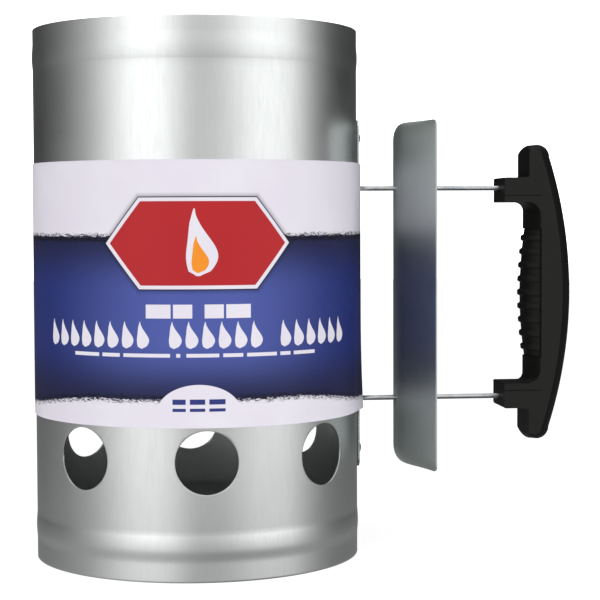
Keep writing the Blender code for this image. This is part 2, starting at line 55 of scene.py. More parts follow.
# Tube
tube_low, tube_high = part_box("chimney_body")
BEAD_DEPTH = 0.4 * MM
BEAD_SPAN = 14.5 * MM
SHEET = 0.7 * MM
AXIS_X = (tube_low.x + tube_high.x) / 2
TUBE_RADIUS = (tube_high.y - tube_low.y) / 2 - BEAD_DEPTH
TUBE_HEIGHT = tube_high.z
BASE_BEAD_Z = 16.5 * MM
RIM_BEAD_Z = TUBE_HEIGHT - 14.0 * MM
VENT_RADIUS = 15.875 * MM
VENT_Z = 59.6 * MM
VENT_ANGLES = (45, 90, 135, 225, 270, 315)
COLUMN_COUNT = 360
VENT_REACH = 13  # grid cells from a vent's centre to the edge of its ring patch
EDGE_ROUND = 0.16 * MM
WAVE = 0.05 * MM  # unevenness of the rolled sheet
WAVE_LENGTH = 55.0 * MM
SEAM_ANGLE = math.radians(-3.3)
SEAM_DROP = 0.5 * MM
SEAM_BLEND = math.radians(5.0)
LAP_GAP = 0.06 * MM
LAP_INSET = 0.4 * MM  # how far the lap stops short of each rim
LAP_ROUND = 0.12 * MM

# Sleeve
sleeve_low, sleeve_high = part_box("label_sleeve")
SLEEVE_BASE = sleeve_low.z
SLEEVE_TOP = sleeve_high.z
PAPER = 0.4 * MM
PAPER_ROUND = 0.1 * MM
SLEEVE_CORNER = 1.1 * MM
FLARE_TOP = 130.0 * MM
FLARE = 1.3 * MM
GLUE_START = math.radians(125.0)
GLUE_WIDTH = math.radians(9.0)
GLUE_RISE = 0.25 * MM
GLUE_EDGE = 0.006  # radians over which the glued lap rises
LABEL_ANGLE = math.radians(267.5)  # middle of the printed front, from +X

# Strap, rivets and wire
strap_low, strap_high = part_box("mounting_strap")
FITTING_Z = (strap_low.z + strap_high.z) / 2
STRAP_X = strap_low.x - AXIS_X
STRAP_FACE_X = strap_high.x - AXIS_X
STRAP_HALF_WIDTH = (strap_high.y - strap_low.y) / 2
STRAP_HALF_LENGTH = (strap_high.z - strap_low.z) / 2
STRAP_CORNER = 5.0 * MM
STRAP_ROUND = 0.18 * MM
LAP_DEPTH = 2.5 * SHEET
RIVET_RISE = 84.3 * MM
RIVET_SHANK = 2.0 * MM
RIVET_HEAD = 3.6 * MM
RIVET_DOME = 1.5 * MM
RIVET_TAIL = 3.2 * MM
RIVET_TAIL_HEIGHT = 1.2 * MM
ARM_RISE = 57.2 * MM
WIRE_RADIUS = 1.35 * MM
TENON_RADIUS = 0.95 * MM
WIRE_HEAD_RADIUS = 2.2 * MM
WIRE_HEAD = 1.0 * MM
WIRE_BACK_X = 196.5 * MM
WIRE_CORNER = 8.0 * MM
SLEEVE_HOLE_RADIUS = 2.2 * MM
FASTENERS = ((RIVET_SHANK, RIVET_RISE), (TENON_RADIUS, ARM_RISE))  # radius and rise, through strap and wall

# Heat shield
shield_low, shield_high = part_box("heat_shield")
SHIELD_CROWN_X = shield_low.x - AXIS_X
SHIELD_HALF_WIDTH = (shield_high.y - shield_low.y) / 2
SHIELD_HALF_HEIGHT = (shield_high.z - shield_low.z) / 2
SHIELD_THICKNESS = 0.8 * MM
SHIELD_CROWN_RADIUS = 36.0 * MM
SHIELD_SWEEP = math.radians(25)
SHIELD_END_DRAW = 5.5 * MM
SHIELD_END_BAND = 9.5 * MM
SHIELD_CORNER = 3.0 * MM
DIMPLE_DEPTH = 1.2 * MM
DIMPLE_RADIUS = 5.0 * MM

# Handle
grip_low, grip_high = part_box("handle_half_near")
HANDLE_REACH = grip_high.x - AXIS_X
HANDLE_HALF_WIDTH = -grip_low.y
BOW_RADIUS = 242.0 * MM
OUTER_ROUND = 7.3 * MM
SIDE_BULGE = 16.6 * MM  # radius of the handle's rounded front and back
GRIP_X = 180.2 * MM
SIDE_EDGE_X = 187.0 * MM
PARTING_GAP = 0.1 * MM
SIDE_CHAMFER = 0.2 * MM
PANEL_HALF_LENGTH = 35.0 * MM
PANEL_X = 178.3 * MM
PANEL_BOW = 2.7 * MM
PANEL_REACH = 0.87  # share of the half's depth where the ribbed panel ends in a small wall
RIB_DEPTH = 1.4 * MM
RIB_PITCH = 7.5 * MM
RIB_COUNT = 9
RIB_CREST = 0.13  # half the crest's width, in pitches
RIB_FLOOR = 0.28  # where the pocket's floor starts, in pitches from the crest's middle
NUB_X = 180.1 * MM
NUB_RISE = 74.1 * MM
POST_X = 166.4 * MM
POST_TOP = 62.9 * MM
POST_BASE = 49.3 * MM
POST_CORNER = 1.2 * MM
FILLET = 4.5 * MM
FILLET_GAIN = 3.0 * MM
GROOVE_RISE = 53.1 * MM
GROOVE_DEPTH = 0.35 * MM
GROOVE_WIDTH = 0.5 * MM
SCREW_PLACES = {
    "upper": (187.4 * MM, 69.0 * MM),
    "middle": (190.1 * MM, 0.0),
    "lower": (187.4 * MM, -69.0 * MM),
}
SCREW_SHANK = 1.3 * MM
SCREW_HEAD = 2.6 * MM
SCREW_HEAD_HEIGHT = 1.8 * MM
SCREW_SEAT = 8.0 * MM
SCREW_DEPTH = 9.0 * MM
SCREW_THREADS = 16

# Grate
GRATE_WIRE = 1.5 * MM
GRATE_RING_RADIUS = 82.5 * MM
GRATE_RING_Z = 90.0 * MM
BAR_COUNT = 9
BAR_PITCH = 17.0 * MM
BAR_END_RADIUS = 83.9 * MM
CLIP_ANGLES = (45, 135, 225, 315)
CLIP_SHEET = 1.0 * MM
CLIP_WIDTH = 8.0 * MM
CLIP_REACH = 79.5 * MM
CLIP_TOP = 100.0 * MM
CLIP_ROUND = 0.25 * MM

# Camera
CAMERA_PLACE = (-0.1079, -0.9275, 0.1819)
CAMERA_TURN = math.radians(-6.44)
CAMERA_PITCH = math.radians(-2.85)
CAMERA_ROLL = math.radians(-0.22)
CAMERA_LENS = 103.06


def rgb(red, green, blue):
    """A colour from its 0 to 255 screen values."""
    channels = [channel / 255 for channel in (red, green, blue)]
    linear = [c / 12.92 if c <= 0.04045 else ((c + 0.055) / 1.055) ** 2.4 for c in channels]
    return (*linear, 1.0)


# Metals and plastic
SHEET_TONES = (rgb(221, 223, 223), rgb(226, 228, 228))
SHIELD_TONES = (rgb(201, 209, 206), rgb(206, 214, 211))
ROLLING_TONE = rgb(196, 199, 200)
SPARKLE_TONE = rgb(244, 245, 246)
PLATING_TONES = (rgb(214, 216, 218), rgb(176, 180, 184))
GRATE_TONES = (rgb(170, 172, 174), rgb(126, 128, 130))
PLASTIC_BLACK = rgb(12, 12, 11)
PLASTIC_DULL = rgb(17, 17, 16)
# The side greys are painted light: the flat side faces are coloured lighter, as if lit, than the rounded
# faces.
PLASTIC_SIDE_LIT = rgb(31, 31, 30)
PLASTIC_SIDE_LIT_DULL = rgb(36, 36, 35)
PANEL_LIGHT_SHARE = 0.8  # painted highlight: how far the ribs near the side faces turn towards the side faces' painted lit grey

# Inks
PAPER_WHITE = rgb(226, 222, 231)
BAND_DUSK = rgb(34, 36, 68)
BAND_NAVY = rgb(38, 50, 114)
BAND_BLUE = rgb(78, 91, 162)
INK_BLACK = rgb(18, 19, 30)
INK_BLUE = rgb(52, 60, 124)
BADGE_RED = rgb(178, 40, 44)
FLAME_ORANGE = rgb(240, 146, 44)

# Print, in millimetres: heights from the tube's base, widths along the sleeve from its front's middle
BAND_TOP = 171.5
BAND_BASE = 91.0
BAND_BRIGHT_LEVEL = 131.0
BAND_BRIGHT_FADE = (12.0, 42.0)  # how far above and below that level the band starts and ends darkening
BAND_SIDE_FADE = (10.0, 92.0)  # the same along the sleeve
BAND_DROP = 6.5  # how much lower the band's base runs at the sides
BAND_DROP_SPAN = (50.0, 125.0)
MOUND_LEVEL = 84.0
MOUND_HALF_WIDTH = 21.0
MOUND_HALF_HEIGHT = 14.5
BADGE_LEVEL = 168.0
BADGE_HALF_WIDTH = 48.0
BADGE_HALF_HEIGHT = 23.0
BADGE_SLANT = 0.8
BADGE_FLAME_BASE = BADGE_LEVEL - 16.0
BADGE_FLAME = 33.0
BADGE_FLAME_CORE = 18.0
FLAME_PROFILE = ((0.0, 0.0), (0.07, 0.34), (0.3, 0.52), (0.55, 0.32), (0.8, 0.12), (1.0, 0.0))
FLAME_ROW = (116.3, 13.2, 8.1)  # base, height and spacing of the row of flames
FLAME_GROUPS = ((-89.1, -24.3), (-16.2, 32.4), (40.5, 89.1))
# Dashes: level, half height, and each dash's start and end
UPPER_DASHES = (134.6, 3.4, ((-26.0, -13.6), (-12.4, -3.0), (3.0, 12.4), (13.6, 26.0)))
FINE_SPANS = ((-68, -52), (-50, -40), (-38, -14), (-11, -9), (-6, 10), (12, 22), (24, 40), (42, 48), (50, 64))
FINE_DASHES = (112.9, 0.9, FINE_SPANS)
SIZE_SPANS = ((-13.0, -6.5), (-4.5, 3.0), (5.0, 13.0))
SIZE_DASHES = ((90.0, 1.3, SIZE_SPANS), (86.0, 0.8, SIZE_SPANS))

# Light tent: (degrees from the camera's side, light), as shares of the strength
TENT_STRENGTH = 2.0
TENT_TURN = math.radians(3.0)
TENT_WALL = (
    (-180, 0.02), (-135, 0.02), (-104, 0.08), (-78, 0.24), (-60, 0.52), (-45, 0.80), (-22, 0.82), (-4, 0.30),
    (18, 0.41), (42, 0.75), (66, 0.72), (84, 0.26), (98, 0.09), (112, 0.03), (125, 0.02), (180, 0.02),
)
TENT_LOW = (
    (-180, 0.18), (-90, 0.18), (-30, 0.17), (0, 0.13), (22, 0.08), (60, 0.07), (90, 0.14), (180, 0.18),
)
TENT_DEEP = 0.05
TENT_ROOF = 0.5
FLOOR_COLOUR = rgb(160, 160, 160)
FLOOR_GLOW = 0.8
FLOOR_RADIUS = 4.0
BACKDROP_RADIUS = 3.9
BACKDROP_TOP = 5.0

# Placings
TO_AXIS = Matrix.Translation((AXIS_X, 0, 0))
TO_FITTING = Matrix.Translation((AXIS_X, 0, FITTING_Z))
TO_FAR_SIDE = Matrix.Rotation(-math.pi / 2, 4, "X")
TO_NEAR_SIDE = Matrix.Rotation(math.pi / 2, 4, "X")


# ---------- mesh helpers ----------


def to_object(name, bm, matrix=TO_AXIS, sharp_angle=SHARP_ANGLE):
    """Makes a scene object of a bmesh built round the tube's axis."""
    bmesh.ops.recalc_face_normals(bm, faces=bm.faces)
    mesh = bpy.data.meshes.new(name)
    bm.to_mesh(mesh)
    bm.free()
    mesh.transform(matrix)
    obj = bpy.data.objects.new(name, mesh)
    bpy.context.scene.collection.objects.link(obj)
    smooth(mesh, sharp_angle)
    return obj


def smooth(mesh, sharp_angle=SHARP_ANGLE):
    mesh.shade_smooth()
    mesh.set_sharp_from_angle(angle=math.radians(sharp_angle))


def settle(obj):
    """Turns a piece with modifiers into a plain mesh."""
    depsgraph = bpy.context.evaluated_depsgraph_get()
    mesh = bpy.data.meshes.new_from_object(obj.evaluated_get(depsgraph))
    obj.modifiers.clear()
    obj.data = mesh
    smooth(mesh)


def solidify(obj, thickness, offset):
    shell = obj.modifiers.new("sheet", "SOLIDIFY")
    shell.thickness = thickness
    shell.offset = offset
    shell.use_even_offset = True


def round_edges(obj, width, segments=2):
    """Rounds a piece's edges and settles it."""
    bevel = obj.modifiers.new("edges", "BEVEL")
    bevel.width = width
    bevel.segments = segments
    bevel.limit_method = "ANGLE"
    bevel.angle_limit = math.radians(BEVEL_ANGLE)
    bevel.miter_outer = "MITER_ARC"
    settle(obj)


def cut(obj, cutters):
    """Cuts the cutters out of a piece and removes them."""
    for cutter in cutters:
        modifier = obj.modifiers.new(cutter.name, "BOOLEAN")
        modifier.operation = "DIFFERENCE"
        modifier.object = cutter
        modifier.solver = "EXACT"
    settle(obj)
    for cutter in cutters:
        bpy.data.objects.remove(cutter)


def turns(count):
    """The angles that split a full turn evenly."""
    return [2 * math.pi * i / count for i in range(count)]


def polar(radius, angle, z):
    return radius * math.cos(angle), radius * math.sin(angle), z


def skin(bm, rows):
    """Joins rows of points with quads. Each row closes on itself, and the rows' vertices are returned."""
    verts = [[bm.verts.new(point) for point in row] for row in rows]
    count = len(verts[0])
    for low, high in zip(verts, verts[1:]):
        for i in range(count):
            j = (i + 1) % count
            bm.faces.new((low[i], low[j], high[j], high[i]))
    return verts


def capped(name, rows, matrix=TO_AXIS, sharp_angle=SHARP_ANGLE):
    """A closed solid of rows of points, with a flat cap on each end."""
    bm = bmesh.new()
    verts = skin(bm, rows)
    bm.faces.new(verts[0][::-1])
    bm.faces.new(verts[-1])
    return to_object(name, bm, matrix, sharp_angle)


def turned(name, profile, matrix, steps, closed=False):
    """A solid turned round Z from (radius, height) points. Points on the axis become poles."""
    bm = bmesh.new()
    rows = []
    for radius, height in profile:
        if radius == 0:
            rows.append([bm.verts.new((0, 0, height))])
        else:
            rows.append([bm.verts.new(polar(radius, angle, height)) for angle in turns(steps)])
    pairs = list(zip(rows, rows[1:]))
    if closed:
        pairs.append((rows[-1], rows[0]))
    for low, high in pairs:
        for i in range(steps):
            j = (i + 1) % steps
            corners = [low[i % len(low)], low[j % len(low)], high[j % len(high)], high[i % len(high)]]
            bm.faces.new(list(dict.fromkeys(corners)))
    return to_object(name, bm, matrix)


def drill(radius, length, matrix, steps):
    """A round cutter along its own Z, centred on its place."""
    half = length / 2
    return turned("drill", [(0, half), (radius, half), (radius, -half), (0, -half)], matrix, steps)


def mill(low, high, matrix):
    """A square cutter from one corner to the other."""
    bm = bmesh.new()
    bmesh.ops.create_cube(bm, size=1)
    low, high = Vector(low), Vector(high)
    bmesh.ops.scale(bm, vec=high - low, verts=bm.verts)
    bmesh.ops.translate(bm, vec=(high + low) / 2, verts=bm.verts)
    return to_object("mill", bm, matrix)


def plate(name, outline, thickness, matrix):
    """A flat plate with the given outline in the XY plane, centred on Z = 0."""
    half = thickness / 2
    return capped(name, [[(x, y, z) for x, y in outline] for z in (-half, half)], matrix)


def arc(centre_x, centre_y, radius, start, end, steps):
    """Points of an arc from one angle to another, in degrees."""
    angles = [math.radians(start + (end - start) * i / steps) for i in range(steps + 1)]
    return [(centre_x + radius * math.cos(a), centre_y + radius * math.sin(a)) for a in angles]


def rounded_rectangle(half_width, half_height, radius):
    points = []
    for quarter, (sx, sy) in enumerate(((1, 1), (-1, 1), (-1, -1), (1, -1))):
        centre = (sx * (half_width - radius), sy * (half_height - radius))
        points += arc(*centre, radius, 90 * quarter, 90 * quarter + 90, 10)
    return points


def steps_between(low, high, pitch):
    """Evenly spaced values from low up to, but without, high."""
    count = max(1, round((high - low) / pitch))
    return [low + (high - low) * i / count for i in range(count)]


def smoothstep(low, high, value):
    share = min(1.0, max(0.0, (value - low) / (high - low)))
    return share * share * (3 - 2 * share)


def along_x(x, rise):
    """Lays a Z-axis shape along +X, x from the tube's axis and a rise from the fittings' middle."""
    return TO_FITTING @ Matrix.Translation((x, 0, rise)) @ Matrix.Rotation(math.pi / 2, 4, "Y")


def facing_x(x):
    """Stands a flat outline up on the fittings' middle, its own X along Y and its own Y along Z."""
    return TO_FITTING @ Matrix(((0, 0, 1, x), (1, 0, 0, 0), (0, 1, 0, 0), (0, 0, 0, 1)))


def pierced_grid(bm, columns, rows, holes, to_point, closed=False):
    """A grid of quads with round holes in it.

    Each hole is (column, row, reach, radius). The cells within reach of it give way to rings of quads
    that turn the square round them into the circle. to_point maps flat (u, v) to a place.
    """
    count = len(columns)
    grid = [[bm.verts.new(to_point(u, v)) for u in columns] for v in rows]
    taken = set()
    for column, row, reach, _ in holes:
        cells = range(-reach, reach)
        taken |= {(column + a, row + b) for a in cells for b in cells}
    for j in range(len(rows) - 1):
        for i in range(count if closed else count - 1):
            if (i, j) not in taken:
                k = (i + 1) % count
                bm.faces.new((grid[j][i], grid[j][k], grid[j + 1][k], grid[j + 1][i]))
    for hole in holes:
        ring_patch(bm, grid, columns, rows, hole, to_point)


def ring_patch(bm, grid, columns, rows, hole, to_point):
    """Rings of quads that turn the square round a hole into its circle."""
    column, row, reach, radius = hole
    side = range(-reach, reach)
    loop = [(a, -reach) for a in side] + [(reach, b) for b in side]
    loop += [(-a, reach) for a in side] + [(-reach, -b) for b in side]
    outer = [grid[row + b][column + a] for a, b in loop]
    for share in (0.62, 0.32, 0.12, 0.0):
        inner = []
        for a, b in loop:
            du = columns[column + a] - columns[column]
            dv = rows[row + b] - rows[row]
            stretch = share + (1 - share) * radius / math.hypot(du, dv)
            inner.append(bm.verts.new(to_point(columns[column] + du * stretch, rows[row] + dv * stretch)))
        for i in range(len(loop)):
            j = (i + 1) % len(loop)
            bm.faces.new((outer[i], outer[j], inner[j], inner[i]))
        outer = inner


def show(obj, node, material):
    """Puts a finished piece in the place of a CAD node."""
    obj.data.materials.clear()
    obj.data.materials.append(material)
    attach(obj, "root")
    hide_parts(node)


# ---------- material helpers ----------


class Nodes:
    """A node tree. Each method adds a node and returns its output socket."""

    def __init__(self, tree):
        self.tree = tree

    def feed(self, socket, value):
        if isinstance(value, bpy.types.NodeSocket):
            self.tree.links.new(value, socket)
        else:
            socket.default_value = value

    def add(self, kind, sockets, **settings):
        made = self.tree.nodes.new(kind)
        for name, value in settings.items():
            setattr(made, name, value)
        for key, value in sockets.items():
            self.feed(made.inputs[key], value)
        return made

    def place(self):
        return self.add("ShaderNodeTexCoord", {}).outputs["Object"]

    def split(self, vector):
        return self.add("ShaderNodeSeparateXYZ", {0: vector}).outputs[:]

    def join(self, x, y, z):
        return self.add("ShaderNodeCombineXYZ", {0: x, 1: y, 2: z}).outputs[0]

    def math(self, operation, *values):
        return self.add("ShaderNodeMath", dict(enumerate(values)), operation=operation).outputs[0]

    def plus(self, first, second):
        return self.math("ADD", first, second)

    def minus(self, first, second):
        return self.math("SUBTRACT", first, second)

    def times(self, first, second):
        return self.math("MULTIPLY", first, second)

    def over(self, first, second):
        return self.math("DIVIDE", first, second)

    def distance(self, value, centre):
        return self.math("ABSOLUTE", self.minus(value, centre))

    def noise(self, vector, scale, detail=3.0, roughness=0.5):
        sockets = {"Vector": vector, "Scale": scale, "Detail": detail, "Roughness": roughness}
        return self.add("ShaderNodeTexNoise", sockets).outputs[0]

    def stretch(self, vector, scale):
        return self.add("ShaderNodeMapping", {"Vector": vector, "Scale": scale}).outputs[0]

    def spread(self, value, low, high, to_low=0.0, to_high=1.0):
        """Maps low..high to to_low..to_high with soft ends."""
        sockets = {"Value": value, "From Min": low, "From Max": high, "To Min": to_low, "To Max": to_high}
        return self.add("ShaderNodeMapRange", sockets, interpolation_type="SMOOTHSTEP").outputs[0]

    def blend(self, share, low, high, mode="MIX"):
        """Mixes two colours."""
        made = self.tree.nodes.new("ShaderNodeMix")
        made.data_type = "RGBA"
        made.blend_type = mode
        for index, value in ((0, share), (6, low), (7, high)):
            self.feed(made.inputs[index], value)
        return made.outputs[2]

    def ramp(self, value, stops, interpolation="LINEAR"):
        made = self.add("ShaderNodeValToRGB", {0: value})
        made.color_ramp.interpolation = interpolation
        elements = made.color_ramp.elements
        while len(elements) < len(stops):
            elements.new(0.5)
        for element, (position, colour) in zip(elements, stops):
            element.position = position
            element.color = colour
        return made.outputs[0]


class Graph(Nodes):
    """A material: its nodes, and the shader they feed."""

    def __init__(self, name, **constants):
        self.material = bpy.data.materials.new(name)
        self.material.use_nodes = True
        super().__init__(self.material.node_tree)
        self.shader = self.tree.nodes["Principled BSDF"]
        for socket, value in constants.items():
            self.shader.inputs[socket.replace("_", " ")].default_value = value

    def paint(self, socket, value):
        self.feed(self.shader.inputs[socket], value)

    def bump(self, height, strength, distance):
        sockets = {"Height": height, "Strength": strength, "Distance": distance}
        self.paint("Normal", self.add("ShaderNodeBump", sockets).outputs[0])


def cylinder_place(graph, upright_scale):
    """Coordinates wrapped round the tube: metres along its girth, a squeezed height, and the radius."""
    x, y, z = graph.split(graph.place())
    x = graph.minus(x, AXIS_X)
    girth = graph.times(graph.math("ARCTAN2", y, x), TUBE_RADIUS)
    radius = graph.math("SQRT", graph.plus(graph.times(x, x), graph.times(y, y)))
    return graph.join(girth, graph.times(z, upright_scale), radius)


def wrapped_grain(graph):
    return cylinder_place(graph, 0.05)


def upright_grain(graph):
    return graph.stretch(graph.place(), (1.0, 1.0, 0.05))


def galvanised_material(name, place_of, roughness, tones):
    """Bright galvanised sheet: a satin zinc skin with fine rolling lines, faint clouds and a fine sparkle."""
    graph = Graph(name, Metallic=1.0)
    grain = graph.noise(place_of(graph), 1500.0, 3.0, 0.6)
    cloud = graph.noise(graph.place(), 24.0, 3.0, 0.55)
    speck = graph.noise(graph.place(), 2400.0, 1.0)
    tone = graph.blend(graph.spread(cloud, 0.3, 0.7), *tones)
    tone = graph.blend(graph.spread(grain, 0.4, 0.75, 0.0, 0.16), tone, ROLLING_TONE)
    tone = graph.blend(graph.spread(speck, 0.56, 0.7, 0.0, 0.25), tone, SPARKLE_TONE)
    graph.paint("Base Color", tone)
    rough = graph.spread(grain, 0.3, 0.7, roughness - 0.02, roughness + 0.03)
    graph.paint("Roughness", graph.plus(rough, graph.spread(cloud, 0.3, 0.7, -0.01, 0.02)))
    graph.bump(graph.plus(grain, graph.times(speck, 0.35)), 0.02, 0.0001)
    return graph.material


def plated_material(name, tones, roughness):
    """Plated or drawn wire and strap: a bright skin with faint drawing marks and dull patches."""
    graph = Graph(name, Metallic=1.0)
    place = graph.place()
    cloud = graph.noise(place, 140.0, 3.0, 0.6)
    scratch = graph.noise(graph.stretch(place, (0.12, 1.0, 1.0)), 1500.0, 2.0)
    graph.paint("Base Color", graph.blend(graph.spread(cloud, 0.35, 0.75), *tones))
    graph.paint("Roughness", graph.spread(scratch, 0.3, 0.7, roughness - 0.05, roughness + 0.1))
    graph.bump(graph.plus(scratch, cloud), 0.08, 0.0001)
    return graph.material


def plastic_material():
    """Black moulded plastic with painted light: the flat sides are painted greyer as if lit, the rounded
    faces stay deeper black, and the ribs near the sides are painted towards that lit grey.
    """
    graph = Graph("black_plastic_moulded", Specular_IOR_Level=0.1)
    place = graph.place()
    texture = graph.noise(place, 1400.0, 2.0, 0.55)
    cloud = graph.noise(place, 60.0, 3.0, 0.5)
    x, y, z = graph.split(place)
    depth = graph.math("ABSOLUTE", y)
    flat_side = graph.spread(depth, 0.965 * HANDLE_HALF_WIDTH, 0.99 * HANDLE_HALF_WIDTH)
    # Painted light: the flat side faces get a lighter grey as if lit, not a colour of their own.
    side_light = graph.blend(cloud, PLASTIC_SIDE_LIT, PLASTIC_SIDE_LIT_DULL)
    # Painted highlight: the ribs near the side faces are turned towards that painted lit grey.
    rib_light = graph.spread(depth, 0.4 * HANDLE_HALF_WIDTH, 0.75 * HANDLE_HALF_WIDTH, 0.0, PANEL_LIGHT_SHARE)
    edge = AXIS_X + SIDE_EDGE_X
    rib_light = graph.times(rib_light, graph.spread(x, edge - 1 * MM, edge - 0.2 * MM, 1.0, 0.0))
    rise = graph.distance(z, FITTING_Z)
    ends = graph.spread(rise, PANEL_HALF_LENGTH - 0.5 * MM, PANEL_HALF_LENGTH, 1.0, 0.0)
    rounded = graph.blend(cloud, PLASTIC_BLACK, PLASTIC_DULL)
    rounded = graph.blend(graph.times(rib_light, ends), rounded, PLASTIC_SIDE_LIT)
    graph.paint("Base Color", graph.blend(flat_side, rounded, side_light))
    grain = graph.spread(texture, 0.3, 0.7, 0.44, 0.56)
    graph.paint("Roughness", graph.plus(grain, graph.spread(cloud, 0.3, 0.7, -0.03, 0.04)))
    graph.bump(texture, 0.22, 0.00012)
    return graph.material


# ---------- printed sleeve material ----------


def within(graph, value, low, high, soft=0.12):
    """1 where low < value < high, with edges that are soft over this many millimetres."""
    rising = graph.spread(value, low - soft, low + soft)
    falling = graph.spread(value, high - soft, high + soft, 1.0, 0.0)
    return graph.times(rising, falling)


def largest(graph, masks):
    total = masks[0]
    for mask in masks[1:]:
        total = graph.math("MAXIMUM", total, mask)
    return total


def dashes(graph, across, height, row_of_dashes):
    """A row of plain dashes, each from a start to an end along the sleeve."""
    level, half_height, spans = row_of_dashes
    row = within(graph, height, level - half_height, level + half_height)
    return graph.times(row, largest(graph, [within(graph, across, *span) for span in spans]))


def flame(graph, across, lift, size):
    """A flame this many millimetres high, standing where across and lift are both 0."""
    share = graph.over(lift, size)
    stops = [(place, (width, width, width, 1)) for place, width in FLAME_PROFILE]
    profile = graph.ramp(share, stops, "B_SPLINE")
    bend = graph.times(graph.math("SINE", graph.times(share, 5.2)), 0.06 * size)
    gap = graph.minus(graph.distance(across, bend), graph.times(profile, 0.52 * size))
    inside = graph.spread(gap, -0.12, 0.12, 1.0, 0.0)
    return graph.times(inside, within(graph, share, 0.0, 1.0, 0.01))


def flame_row(graph, across, height):
    """Groups of small flames side by side."""
    base, size, spacing = FLAME_ROW
    local = graph.times(graph.math("FRACT", graph.over(across, spacing)), spacing)
    local = graph.minus(local, spacing / 2)
    flames = flame(graph, local, graph.minus(height, base), size)
    groups = largest(graph, [within(graph, across, start, end) for start, end in FLAME_GROUPS])
    return graph.times(flames, groups)


def band(graph, across, height, colour):
    """The blue band, darker towards its ends and edges, with a torn, charcoal-like fringe."""
    coarse = graph.noise(graph.join(graph.times(across, 0.3), height, 0.0), 0.9, 4.0, 0.7)
    torn = graph.plus(height, graph.spread(coarse, 0.3, 0.7, -0.7, 0.7))
    reach = graph.math("ABSOLUTE", across)
    base = graph.minus(torn, graph.spread(reach, *BAND_DROP_SPAN, BAND_BASE, BAND_BASE - BAND_DROP))
    side = graph.spread(reach, *BAND_SIDE_FADE)
    level = graph.spread(graph.distance(height, BAND_BRIGHT_LEVEL), *BAND_BRIGHT_FADE)
    blue = graph.blend(level, graph.blend(side, BAND_BLUE, BAND_NAVY), BAND_DUSK)
    below_top = graph.spread(torn, BAND_TOP - 0.3, BAND_TOP + 0.3, 1.0, 0.0)
    inside = graph.times(graph.spread(base, -0.3, 0.3), below_top)
    colour = graph.blend(inside, colour, blue)
    streaks = graph.noise(graph.join(graph.times(across, 0.28), height, 4.0), 2.4, 3.0, 0.8)
    flecks = graph.spread(streaks, 0.47, 0.55)
    long_flecks = graph.spread(streaks, 0.4, 0.5)
    above = within(graph, torn, BAND_TOP - 1.4, BAND_TOP + 1.2, 0.5)
    under = within(graph, torn, BAND_TOP - 2.6, BAND_TOP - 0.6, 0.5)
    below = within(graph, base, -1.6, 2.2, 0.7)
    for edge, broken in ((above, flecks), (under, long_flecks), (below, flecks)):
        colour = graph.blend(graph.times(edge, broken), colour, INK_BLACK)
    return colour


def badge(graph, across, height, colour):
    """A six-sided badge with a pale border and one large flame."""
    rise = graph.distance(height, BADGE_LEVEL)
    reach = graph.plus(graph.math("ABSOLUTE", across), graph.times(rise, BADGE_SLANT))
    slant = graph.times(graph.minus(reach, BADGE_HALF_WIDTH), 1 / math.hypot(1, BADGE_SLANT))
    edge = graph.math("MAXIMUM", graph.minus(rise, BADGE_HALF_HEIGHT), slant)
    colour = graph.blend(graph.spread(edge, -0.5, 2.6, 0.45, 0.0), colour, INK_BLACK)
    for depth, ink in ((0.0, INK_BLACK), (0.5, PAPER_WHITE), (2.3, BADGE_RED)):
        colour = graph.blend(graph.spread(edge, -depth - 0.15, -depth + 0.15, 1.0, 0.0), colour, ink)
    lift = graph.minus(height, BADGE_FLAME_BASE)
    colour = graph.blend(flame(graph, across, lift, BADGE_FLAME), colour, PAPER_WHITE)
    core = flame(graph, across, graph.minus(lift, 1.5), BADGE_FLAME_CORE)
    return graph.blend(core, colour, FLAME_ORANGE)


def mound(graph, across, height):
    """The pale half-round that rises into the band at the sleeve's foot."""
    across_share = graph.math("POWER", graph.over(across, MOUND_HALF_WIDTH), 2.0)
    height_share = graph.math("POWER", graph.over(graph.minus(height, MOUND_LEVEL), MOUND_HALF_HEIGHT), 2.0)
    return graph.spread(graph.plus(across_share, height_share), 0.98, 1.02, 1.0, 0.0)


def paper_material():
    """Semi-gloss printed paper: a blue band, a badge, and flames and dashes where a maker would put words."""
    graph = Graph("printed_paper_sleeve", Specular_IOR_Level=0.12, Coat_Weight=0.04, Coat_Roughness=0.3)
    x, y, z = graph.split(graph.place())
    angle = graph.math("ARCTAN2", y, graph.minus(x, AXIS_X))
    front = graph.math("WRAP", graph.minus(angle, LABEL_ANGLE), math.pi, -math.pi)
    across = graph.times(front, TUBE_RADIUS / MM)
    height = graph.over(z, MM)

    colour = band(graph, across, height, PAPER_WHITE)
    colour = graph.blend(mound(graph, across, height), colour, PAPER_WHITE)
    colour = badge(graph, across, height, colour)
    pale = [flame_row(graph, across, height)]
    pale += [dashes(graph, across, height, row) for row in (UPPER_DASHES, FINE_DASHES)]
    colour = graph.blend(largest(graph, pale), colour, PAPER_WHITE)
    dark = [dashes(graph, across, height, row) for row in SIZE_DASHES]
    colour = graph.blend(largest(graph, dark), colour, INK_BLUE)

    fibre = graph.noise(graph.stretch(graph.place(), (1.0, 1.0, 0.6)), 900.0, 3.0, 0.6)
    cloud = graph.noise(graph.place(), 35.0, 3.0)
    tint = graph.blend(graph.spread(cloud, 0.3, 0.7), rgb(255, 255, 255), rgb(250, 249, 252))
    graph.paint("Base Color", graph.blend(1.0, colour, tint, "MULTIPLY"))
    graph.paint("Roughness", graph.spread(fibre, 0.3, 0.7, 0.4, 0.5))
    graph.bump(fibre, 0.04, 0.0001)
    return graph.material


# ---------- tube ----------


